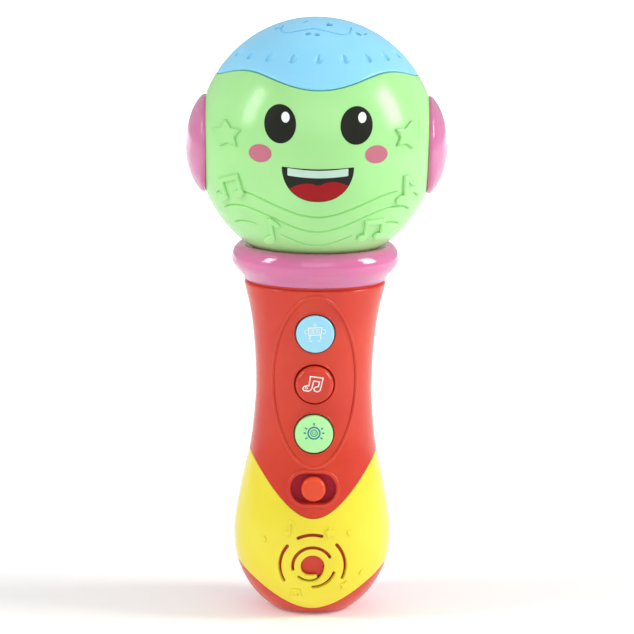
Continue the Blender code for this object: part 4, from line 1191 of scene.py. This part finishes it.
def handle_half(back):
    """One half of the handle: lip, skin and floor. The front one is let in for the cover."""
    share = half_columns(120, 25 * MM)
    nominal = share * math.pi / 2 + (math.pi if back else 0.0)
    columns = len(share)
    outer, inner = [], []

    def add(z, depth, wall):
        radius = handle_radius(z)
        turn = half_turns(share, radius, back)
        depth = np.maximum(depth, parting_lip(share, radius, 0.2 * MM))
        outer.append(handle_surface(turn, z, -depth))
        inside = handle_surface(turn, z, -wall)
        inside[:, 2] = np.clip(inside[:, 2], HANDLE_FLOOR, LIP_UNDERSIDE)
        inner.append(inside)

    for radius in (LIP_RADIUS, 20 * MM, 22 * MM):
        turn = half_turns(share, radius, back)
        outer.append(ring_row(turn, radius, HANDLE_TOP))
        inner.append(ring_row(turn, min(radius, 21.9 * MM), LIP_UNDERSIDE))
    edge_steps = np.array([0.0, 0.5, 1.0, 1.02, 1.05, 1.1, 1.2, 1.35, 1.55, 1.8, 2.2]) * MM
    rounding = [1.1 * MM] * 3 + [lip(step - edge_steps[3], TOP_EDGE) for step in edge_steps[3:]]
    for step, depth in zip(edge_steps, rounding):
        add(np.full(columns, HANDLE_TOP - step), depth, HANDLE_WALL)
    start = np.full(columns, HANDLE_TOP - edge_steps[-1])
    base_steps = np.array([1.2, 0.9, 0.7, 0.5, 0.3, 0.15, 0.05, 0.0]) * MM
    base = np.full(columns, base_steps[0])
    if back:
        for z in skin_rows(start, base, 110):
            add(z, 0.0, HANDLE_WALL)
    else:
        top = edge_at_turn(COVER_TOP, nominal) + 0.15 * MM
        low = edge_at_turn(COVER_BOTTOM, nominal) - 0.15 * MM
        near = np.array([0.0, 0.06, 0.14, 0.24, 0.36, 0.6]) * MM
        for z in skin_rows(start, top + near[-1], 90):
            add(z, 0.0, wall_at(z))
        for step in near[::-1]:
            add(top + step, lip(step, 0.25 * MM), wall_at(top))
        recess = COVER_THICKNESS + GAP
        add(top - 0.01 * MM, recess, LOW_FRONT_WALL)
        for z in skin_rows(top, low, 24):
            add(z, recess, LOW_FRONT_WALL)
        add(low + 0.01 * MM, recess, LOW_FRONT_WALL)
        for step in near:
            add(low - step, lip(step, 0.25 * MM), LOW_FRONT_WALL)
        for z in skin_rows(low - near[-1], np.minimum(base, low - near[-1] - 0.2 * MM), 14):
            add(z, 0.0, LOW_FRONT_WALL)
    for step in base_steps:
        add(np.full(columns, step), lip(step, BASE_EDGE), HANDLE_WALL if back else LOW_FRONT_WALL)
    # the floor runs straight back from the rim to the parting plane
    rim_out, rim_in = outer[-1].copy(), inner[-1].copy()
    side = 1 if back else -1
    for s in np.linspace(0, 1, 8)[1:]:
        for rows, rim, z in ((outer, rim_out, 0.0), (inner, rim_in, HANDLE_FLOOR)):
            row = rim.copy()
            row[:, 1] = rim[:, 1] + (side * PARTING_GAP / 2 - rim[:, 1]) * s
            row[:, 2] = z
            rows.append(row)
    return thick_sheet("handle_half", outer, inner)


def wall_at(z):
    """The wall's thickness: thicker low down, where the cover is let in."""
    return HANDLE_WALL + (LOW_FRONT_WALL - HANDLE_WALL) * smooth((LOW_FRONT_TOP + 2 * MM - z) / (3 * MM))


def handle_core(inset):
    heights = np.linspace(HANDLE_FLOOR / 2, HANDLE_TOP - MM, 60)
    wall = [(handle_radius(z) - inset, z) for z in heights[::-1]]
    return turned("core", [(0.0, heights[-1])] + wall + [(0.0, heights[0])], 96)


def on_skin_ring(centre_z, half_width, half_height, count=160):
    """Points and normals of an ellipse, seen from the front, on the handle's skin."""
    turns = turns_round(count)
    x, z = half_width * MM * np.sin(turns), (centre_z + half_height * np.cos(turns)) * MM
    around = np.arcsin(x / handle_radius(z))
    return handle_surface(around, z), handle_normal(around, z)


def stadium_on_skin(width, height):
    loop = np.asarray(stadium(0, SWITCH_Z / MM, width, height, 20))
    around = np.arcsin(loop[:, 0] / handle_radius(loop[:, 1]))
    return handle_surface(around, loop[:, 1]), handle_normal(around, loop[:, 1])


def handle_front():
    shell = handle_half(False)
    cuts = [rod(BUTTON_RADIUS + 0.5 * MM, (0, -0.03, z), (0, -0.012, z), 96) for z, _ in BUTTONS.values()]
    count, circle, radius = SOUND_HOLES
    for turn in turns_round(count):
        x, z = circle * MM * math.cos(turn), (GRILLE_Z + circle * math.sin(turn)) * MM
        cuts.append(rod(radius * MM, (x, -0.035, z), (x, -0.012, z), 20))
    combine(shell, [joined("round_cuts", cuts)], "DIFFERENCE")
    combine(shell, [prism(stadium(0, SWITCH_Z / MM, *SWITCH_RECESS), -0.03, SWITCH_RECESS_Y)], "DIFFERENCE")
    combine(shell, [prism(switch_slot(0.0), -0.03, -0.012)], "DIFFERENCE")
    finish_piece(shell, "handle_front_shell", "red_plastic", replaced=["handle_front"])
    beads = [bead("ridge", *on_skin_ring(*RIDGE), 0.75 * MM, 0.6 * MM)]
    rim = stadium_on_skin(*(side + 1.4 for side in SWITCH_RECESS))
    beads.append(bead("rim", *rim, 0.7 * MM, 0.45 * MM))
    for z, _ in BUTTONS.values():
        reach = (BUTTON_RADIUS + 0.8 * MM) / MM
        beads.append(bead("ring", *on_skin_ring(z / MM, reach, reach, 96), 0.35 * MM, 0.25 * MM, 0.2 * MM))
    finish_piece(joined("beads", beads), "handle_ridges", "red_plastic")


def handle_back():
    shell = handle_half(True)
    bosses = []
    for x, z in CASE_SCREWS:
        boss = rod(3.7 * MM, (x * MM, GAP, z * MM), (x * MM, 0.03, z * MM))
        bosses.append(combine(boss, [handle_core(HANDLE_WALL / 2)], "INTERSECT"))
    combine(shell, bosses, "UNION")
    cuts = [prism(soft_corners(scaled(door_corners(0.3)), 1.3 * MM, 5), 0.008, 0.04)]
    for x, z in CASE_SCREWS:
        cuts += screw_hole(x, z, CASE_SCREW_FLOOR_Y, 30.0 * MM)
    combine(shell, cuts, "DIFFERENCE")
    finish_piece(shell, "handle_back_shell", "red_plastic", replaced=["handle_back"])


def door_corners(grow):
    half, tab_half = DOOR_HALF_WIDTH + grow, DOOR_TAB[0] + grow
    low, top, tab_top = DOOR_BOTTOM - grow, DOOR_TOP + grow, DOOR_TAB[1] + grow
    right = [(half, low), (half, top), (tab_half, top), (tab_half, tab_top)]
    return right + [(-x, z) for x, z in reversed(right)]


def battery_door():
    """The door, with its screw boss and a row of grip bars."""
    outline = soft_corners(scaled(door_corners(0.0)), 1.2 * MM, 5)
    hole = ellipse(0, DOOR_SCREW_Z / MM, 3.2, 3.2, 40)
    door = bend(flat_plate("door", [outline, hole], -DOOR_WALL, 0.0, 0.3 * MM, 1.0 * MM), back_of_handle)
    front, floor = 10.4, DOOR_SCREW_FLOOR_Y / MM
    boss = [(3.2, 19.4), (4.2, 19.4), (4.2, front), (1.8, front), (1.8, floor), (3.2, floor)]
    cup = turned("boss", scaled(boss), 48, at(0, 0, DOOR_SCREW_Z, TO_BACK))
    combine(door, [cup], "UNION")
    finish_piece(door, "battery_door_panel", "red_plastic", "battery_door", ["battery_door"])
    bars = []
    for i in range(5):
        z = (52.0 - 2.6 * i) * MM
        x = np.linspace(-6.5, 6.5, 27) * MM
        around = math.pi - np.arcsin(x / handle_radius(z))
        skin, normals = handle_surface(around, z), handle_normal(around, z)
        bars.append(bead("bar", skin, normals, 0.5 * MM, 0.4 * MM, 0.3 * MM, closed=False))
    finish_piece(joined("bars", bars), "battery_door_grip", "red_plastic", "battery_door")


def screw(node, x, z, floor, head_size, shank, length, body="housing"):
    """A pan-head screw with a cross recess, pointing forwards from its floor."""
    outline = rounded(
        [(0.0, SCREW_HEAD), (head_size * 0.62, SCREW_HEAD * 0.97), (head_size, SCREW_HEAD * 0.35),
         (head_size, 0.0), (shank, 0.0), (shank, -length * 0.9), (0.0, -length)],
        [0, head_size * 0.3, SCREW_HEAD * 0.2, 0.08 * MM, 0, shank * 0.3, 0],
        4,
    )
    obj = turned(node, outline, 40)
    slot_reach, half = head_size * 0.6, head_size * 0.13
    cross = []
    for arm in ((slot_reach, half), (half, slot_reach)):
        cross.append(flat_plate("cross", [box_corners(*arm)], SCREW_HEAD * 0.4, SCREW_HEAD * 1.5, cell=1.0))
    combine(obj, cross, "DIFFERENCE")
    obj.data.transform(at(x, floor + GAP, z, TO_BACK))
    finish_piece(obj, f"{node}_steel", "screw_steel", body, [node])


def screws():
    for family, centres, floor, length in (
        ("case_screw", CASE_SCREWS, CASE_SCREW_FLOOR_Y, 14 * MM),
        ("head_screw", HEAD_SCREWS, HEAD_SCREW_FLOOR_Y, 15 * MM),
    ):
        for number, (x, z) in enumerate(centres, 1):
            screw(f"{family}_{number}", x * MM, z * MM, floor, 2.5 * MM, 1.25 * MM, length)
    screw("door_screw", 0, DOOR_SCREW_Z, DOOR_SCREW_FLOOR_Y, 2.7 * MM, 1.4 * MM, 11 * MM, "door_screw")


# ---- speaker cover

def round_the_handle(across, up, lift):
    """Maps a length round the handle, at COVER_SPREAD, and a height."""
    return handle_surface(across / COVER_SPREAD, up, lift)


COVER_SPREAD = 25 * MM


def unrolled(loop):
    """A loop of (x, z) seen from the front, as lengths round the handle."""
    return [(COVER_SPREAD * math.asin(max(-1, min(1, x / float(handle_radius(z))))), z) for x, z in loop]


def speaker_cover():
    end = half_turns(1.0, 24 * MM)
    turns = np.linspace(-end, end, 90)
    low = [(COVER_SPREAD * t, float(edge_at_turn(COVER_BOTTOM, t))) for t in turns]
    top = [(COVER_SPREAD * t, float(edge_at_turn(COVER_TOP, t))) for t in turns]
    outline = low + top[::-1]
    holes = [unrolled(loop) for loop in grille_loops()]
    plate = flat_plate("cover", [outline] + holes, -COVER_THICKNESS, 0.0, 0.2 * MM, 0.8 * MM)
    cover = bend(plate, round_the_handle)
    finish_piece(cover, "speaker_cover_skin", "yellow_plastic", replaced=["speaker_cover"])
    marks = [
        relief("mark", [star(2.3, 0.5, 12)], patch_of_handle(6.0, 32.3), 0.45 * MM, bevel=0.16 * MM),
        relief("mark", [star(2.3, 0.5, 0)], patch_of_handle(11.5, 12.6), 0.45 * MM, bevel=0.16 * MM),
        relief("mark", note_parts(0.7, False), patch_of_handle(-8.4, 34.0), 0.45 * MM, bevel=0.14 * MM),
        relief("mark", note_parts(0.6, True), patch_of_handle(-6.0, 9.6), 0.45 * MM, bevel=0.14 * MM),
    ]
    for x, z in ((12.9, 31.9), (-17.1, 28.8), (17.4, 16.8)):
        dot = [ellipse(0, 0, 1.1, 1.1, 24)]
        marks.append(relief("mark", dot, patch_of_handle(x, z), 0.4 * MM, bevel=0.15 * MM))
    finish_piece(joined("marks", marks), "speaker_cover_marks", "yellow_plastic")


def patch_of_handle(x, z):
    """A mapping that wraps a flat plate round the handle, centred at x and z in mm seen from the front."""
    turn = math.asin(x * MM / float(handle_radius(z * MM)))
    slope = float(handle_slope(z * MM))
    rise = 1 / math.sqrt(1 + slope**2)

    def mapping(across, up, lift):
        height = z * MM + up * rise
        return handle_surface(turn + across / handle_radius(height), height, lift)

    return mapping


def grille_loops():
    """The hole in the middle with its hooked tail, and the curved slots round it."""
    loops = [hooked_hole()]
    for radius, first, last in GRILLE_ARCS:
        loops.append(arc_slot(0.0, GRILLE_Z, radius, first, last, GRILLE_SLOT))
    return loops


def hooked_hole():
    """A round hole that runs on, at its lower right, as a slot that curls out below a tongue of the cover."""
    width = 0.95
    first, last = -20, -142  # degrees, where the slot's outer edge leaves the hole, and where it ends

    def outer(degrees):
        return GRILLE_HOLE_RADIUS + 2.5 * (first - degrees) / (first - last)

    polar = [(GRILLE_HOLE_RADIUS, degrees) for degrees in range(first, 219, 8)]
    polar += [(3.95, -128), (3.65, -116), (3.4, -102), (3.3, -88), (3.35, -76), (3.55, -68)]
    polar += [(3.95, -65), (4.35, -69)]
    polar += [(outer(degrees) - width, degrees) for degrees in range(-78, last, -7)]
    polar += [(outer(last) - width, last), (outer(last) - width / 2, last - 4), (outer(last), last)]
    polar += [(outer(degrees), degrees) for degrees in range(last + 6, first - 3, 7)]
    return scaled([arc(0.0, GRILLE_Z, radius, [math.radians(t)])[0] for radius, t in polar])


# ---- buttons and switch

def button_top(radius, proud):
    """Height of a button's domed top at a distance from its axis."""
    return proud - 0.35 * MM * (radius / BUTTON_RADIUS) ** 2


def buttons():
    for colour, (z, proud) in BUTTONS.items():
        skin = float(handle_radius(z))
        flange = math.sqrt((skin - HANDLE_WALL) ** 2 - BUTTON_FLANGE_RADIUS**2) - 0.4 * MM - skin
        stem = BUTTON_STEM_END - skin
        edge = (1.9 if colour == "red" else 0.7) * MM
        top = [(r, button_top(r, proud)) for r in np.linspace(0, BUTTON_RADIUS - edge, 10)]
        corner = []
        for t in np.linspace(0, math.pi / 2, 12)[1:]:
            corner.append((BUTTON_RADIUS - edge + edge * math.sin(t), top[-1][1] - edge + edge * math.cos(t)))
        outline = top + corner + [
            (BUTTON_RADIUS, flange),
            (BUTTON_FLANGE_RADIUS, flange),
            (BUTTON_FLANGE_RADIUS, flange - 1.1 * MM),
            (2.0 * MM, flange - 1.1 * MM),
            (2.0 * MM, stem),
            (0.0, stem),
        ]
        outline[0] = (0.0, outline[0][1])
        place = at(0, -skin, z, TO_FRONT)
        slot_name = {"blue": "button_blue", "red": "red_plastic", "green": "button_green"}[colour]
        body = f"{colour}_button"
        obj = turned(f"{colour}_cap", outline, 96, place)
        finish_piece(obj, f"{colour}_button_cap", slot_name, body, [f"button_{colour}"], angle=50)

        def mapping(across, up, lift, skin=skin, z=z, proud=proud):
            away = np.hypot(across, up)
            return np.stack([across, -skin - button_top(away, proud) - lift, z + up], axis=1)

        ink_colour = "blue" if colour == "green" else "white"
        loops = {"blue": robot_icon, "red": note_icon, "green": sun_icon}[colour]()
        lines = [printed("icon", loop, mapping, 0.05 * MM, 0.08 * MM, 1.0) for loop in loops]
        icon = joined("icon", lines)
        finish_piece(icon, f"{colour}_button_icon", slot_name, body, material=INKS[f"ink_{ink_colour}"])


def circle_line(x, z, radius, width, first=None, last=None, count=24):
    if first is None:
        return stroke(arc(x, z, radius, turns_round(count)), width, True)
    return stroke(arc(x, z, radius, np.radians(np.linspace(first, last, count))), width)


def robot_icon():
    """A line drawing of a plain boxy robot's head with an aerial and two arms."""
    line = 0.32
    head_line = [(-2.2, -0.3), (2.0, -0.1), (2.3, 2.4), (-2.4, 2.2)]
    jaw = [(-2.0, -1.9), (-1.7, -0.3), (1.8, -0.1), (2.0, -1.7)]
    return [
        stroke(head_line, line, True),
        stroke([(-1.5, 0.5), (1.5, 0.6), (1.6, 1.7), (-1.6, 1.6)], 0.18, True),
        stroke(jaw, line),
        circle_line(-0.1, 3.4, 0.45, 0.22, count=16),
        stroke([(-0.1, 2.3), (-0.1, 2.95)], 0.22),
        circle_line(-3.0, 0.8, 0.75, 0.22, 70, 290, 12),
        circle_line(2.9, 1.0, 0.75, 0.22, -110, 110, 12),
        circle_line(-0.7, 1.1, 0.25, 0.16, count=10),
        circle_line(0.7, 1.15, 0.25, 0.16, count=10),
        stroke([(-1.9, -2.4), (-0.9, -2.4)], 0.24),
        stroke([(0.9, -2.3), (1.9, -2.3)], 0.24),
    ]


def note_icon():
    """An outlined pair of notes with one beam."""
    line = 0.38
    outline = [
        (-1.2, 3.1), (2.9, 2.6), (2.2, -0.6), (1.9, -1.5), (1.0, -1.9), (0.1, -1.5), (0.0, -0.8), (0.6, -0.3),
        (1.4, -0.2), (1.75, 1.4), (-0.1, 1.65), (-0.6, -0.4), (-0.9, -1.2), (-1.8, -1.7), (-3.2, -1.5), (-3.6, -0.9),
        (-3.2, -0.2), (-2.4, 0.1), (-1.6, 0.1),
    ]
    smooth_outline = [(1.08 * x - 0.2, 1.08 * z - 0.1) for x, z in outline]
    return [
        stroke(smooth_outline, line, True),
        circle_line(-2.8, -0.8, 0.38, 0.22, count=12),
    ]


def sun_icon():
    """A smiling sun with short rays."""
    parts = [circle_line(0, 0.6, 2.05, 0.5, count=40), circle_line(0, 0.6, 1.15, 0.3, count=28)]
    parts.append(circle_line(0, 0.85, 0.7, 0.2, 205, 335, 12))
    for side in (-1, 1):
        parts.append(circle_line(side * 0.42, 0.95, 0.14, 0.14, count=10))
    for degrees in (90, 150, 30, 215, 325, 0, 180):
        turn = [math.radians(degrees)]
        parts.append(stroke(arc(0, 0.6, 2.8, turn) + arc(0, 0.6, 3.6, turn), 0.5))
    return parts


def switch_slot(grow):
    """The slot that the knob's stem slides in."""
    corners = box_corners(SWITCH_TRAVEL / MM + 1.2 + grow, 1.8 + grow, SWITCH_Z / MM)
    return soft_corners(scaled(corners), 0.25 * MM, 3)


def switch():
    back = SWITCH_RECESS_Y - GAP
    height = 4.2 * MM
    edge = 1.3 * MM
    outline = [(0.0, height), (SWITCH_KNOB_RADIUS * 0.5, height - 0.08 * MM)]
    for t in np.linspace(0, math.pi / 2, 8):
        outline.append(
            (SWITCH_KNOB_RADIUS - edge + edge * math.sin(t), height - 0.2 * MM - edge + edge * math.cos(t))
        )
    outline += [(SWITCH_KNOB_RADIUS, 0.0), (0.0, 0.0)]
    knob = turned("knob", outline, 72, at(0, back, SWITCH_Z, TO_FRONT))
    blocks = []
    for (half_width, half_height, block_back), start in (
        (KNOB_STEM, back - 0.4 * MM), (KNOB_FLANGE, (KNOB_STEM[2] - 0.2) * MM)
    ):
        corners = box_corners(half_width, half_height, SWITCH_Z / MM)
        blocks.append(prism(scaled(corners), start, block_back * MM))
    combine(knob, blocks, "UNION")
    well = stadium(0, SWITCH_Z / MM, SWITCH_RECESS[0] - 0.3, SWITCH_RECESS[1] - 0.3)
    slot = switch_slot(0.05)

    def forward(across, up, lift):
        return np.stack([across, np.full_like(across, SWITCH_RECESS_Y) - lift, up], axis=-1)

    # A thin dark crimson sheet on the recess floor: painted shade, standing in for the shadow inside a recess of the
    # same red plastic
    floor = bend(flat_plate("well", [well, slot], -0.05 * MM, 0.1 * MM), forward)
    finish_piece(floor, "switch_recess_painted_shade", "red_plastic", material=INKS["ink_well"])
    # The knob's lighter red is painted light: the same red plastic, brightened where the light falls on it
    finish_piece(knob, "power_knob", "red_plastic", "power_switch", ["switch_knob"], LOOKS["knob_red"])


# ---- inside

def batteries():
    radius, length, nub = 5.2 * MM, 44.5 * MM, MM
    outline = rounded(
        [(0.0, length), (1.9 * MM, length), (1.9 * MM, length - nub), (4.2 * MM, length - nub),
         (4.3 * MM, length - 0.7 * MM), (radius, length - nub * 0.9), (radius, 0.3 * MM), (4.6 * MM, 0.0),
         (0.0, 0.0)],
        [0, 0.3 * MM, 0.1 * MM, 0.1 * MM, 0.2 * MM, 0.5 * MM, 0.3 * MM, 0.2 * MM, 0], 3,
    )
    for number in (1, 2, 3):
        place = at((number - 2) * 10.8 * MM, 8.3 * MM, 14.0 * MM)
        cell = turned("cell", outline, 48, place)
        finish_piece(cell, f"battery_{number}_cell", "battery_wrap", replaced=[f"battery_{number}"])


def carried_nodes():
    """The frame's own solids that still show get detailed materials by their slots."""
    slots = {part["node"]: part["material_slot"] for part in frame["record"]["subparts"]}
    for name, obj in frame["nodes"].items():
        if obj.hide_render:
            continue
        obj.data.materials.clear()
        obj.data.materials.append(LOOKS[slots[name]])


# ---- stage

CAMERA_DISTANCE = 1.5
CAMERA_AZIMUTH = math.radians(-0.8)
CAMERA_ELEVATION = math.radians(10.0)
CAMERA_LEAN = math.radians(0.70)
AIM_HEIGHT = 0.105
AIM_SHIFT = (0.85 * MM, -0.97 * MM)  # of the view's middle, to the right and up
LENS = 242.2


def camera():
    data = bpy.data.cameras.new("camera")
    data.lens = LENS
    data.sensor_width = 36
    data.clip_end = 20
    obj = bpy.data.objects.new("camera", data)
    bpy.context.scene.collection.objects.link(obj)
    away = Vector((
        math.cos(CAMERA_ELEVATION) * math.sin(CAMERA_AZIMUTH),
        -math.cos(CAMERA_ELEVATION) * math.cos(CAMERA_AZIMUTH),
        math.sin(CAMERA_ELEVATION),
    ))
    right = Vector((0, 0, 1)).cross(away).normalized()
    up = away.cross(right)
    lean_up = up * math.cos(CAMERA_LEAN) - right * math.sin(CAMERA_LEAN)
    lean_right = lean_up.cross(away)
    aim = Vector((0, 0, AIM_HEIGHT)) + lean_right * AIM_SHIFT[0] + lean_up * AIM_SHIFT[1]
    turn = Matrix((lean_right, lean_up, away)).transposed().to_4x4()
    obj.matrix_world = Matrix.Translation(aim + away * CAMERA_DISTANCE) @ turn
    bpy.context.scene.camera = obj


def area_light(name, place, size, power, target=(0, 0, 0.11), spread=180):
    data = bpy.data.lights.new(name, "AREA")
    data.shape = "RECTANGLE"
    data.size, data.size_y = size
    data.energy = power
    data.spread = math.radians(spread)
    obj = bpy.data.objects.new(name, data)
    bpy.context.scene.collection.objects.link(obj)
    obj.location = place
    obj.rotation_euler = (Vector(target) - Vector(place)).to_track_quat("-Z", "Y").to_euler()


def stage():
    """A plain pale floor and soft studio light."""
    world = bpy.data.worlds.new("studio")
    bpy.context.scene.world = world
    world.use_nodes = True
    background = world.node_tree.nodes["Background"]
    background.inputs["Color"].default_value = (1.0, 1.0, 1.0, 1.0)
    background.inputs["Strength"].default_value = 0.53
    area_light("key_right", (1.16, -0.15, 0.72), (0.42, 0.62), 10.5)
    area_light("key_left", (-1.08, -0.32, 0.76), (0.26, 0.60), 5.2)
    area_light("front", (0.1, -1.9, 1.1), (1.6, 1.0), 6.0)
    area_light("sweep", (0.0, 1.9, 1.6), (3.4, 1.4), 26.0, (0.0, 1.9, 0.0), 85)
    points = ((-6, -6, 0), (6, -6, 0), (6, 6, 0), (-6, 6, 0))
    mesh = bpy.data.meshes.new("floor")
    mesh.from_pydata(points, [], [(0, 1, 2, 3)])
    floor = new_object("floor", mesh)
    floor.location.z = CAD_BOX[0][2] - 0.02 * MM
    floor.data.materials.append(
        node_material(
            "floor_paper", linear(250, 250, 250), linear(248, 248, 248), (0.85, 0.95), bump=0.0,
            Emission_Color=(1.0, 1.0, 1.0, 1.0), Emission_Strength=0.14,
        )
    )
    settings = bpy.context.scene.view_settings
    settings.view_transform = "Standard"
    settings.look = "None"
    settings.exposure = 0.0


camera()
stage()
head()
head_cap()
head_marks()
face()
ears()
collar()
handle_front()
handle_back()
battery_door()
screws()
speaker_cover()
buttons()
switch()
batteries()
carried_nodes()
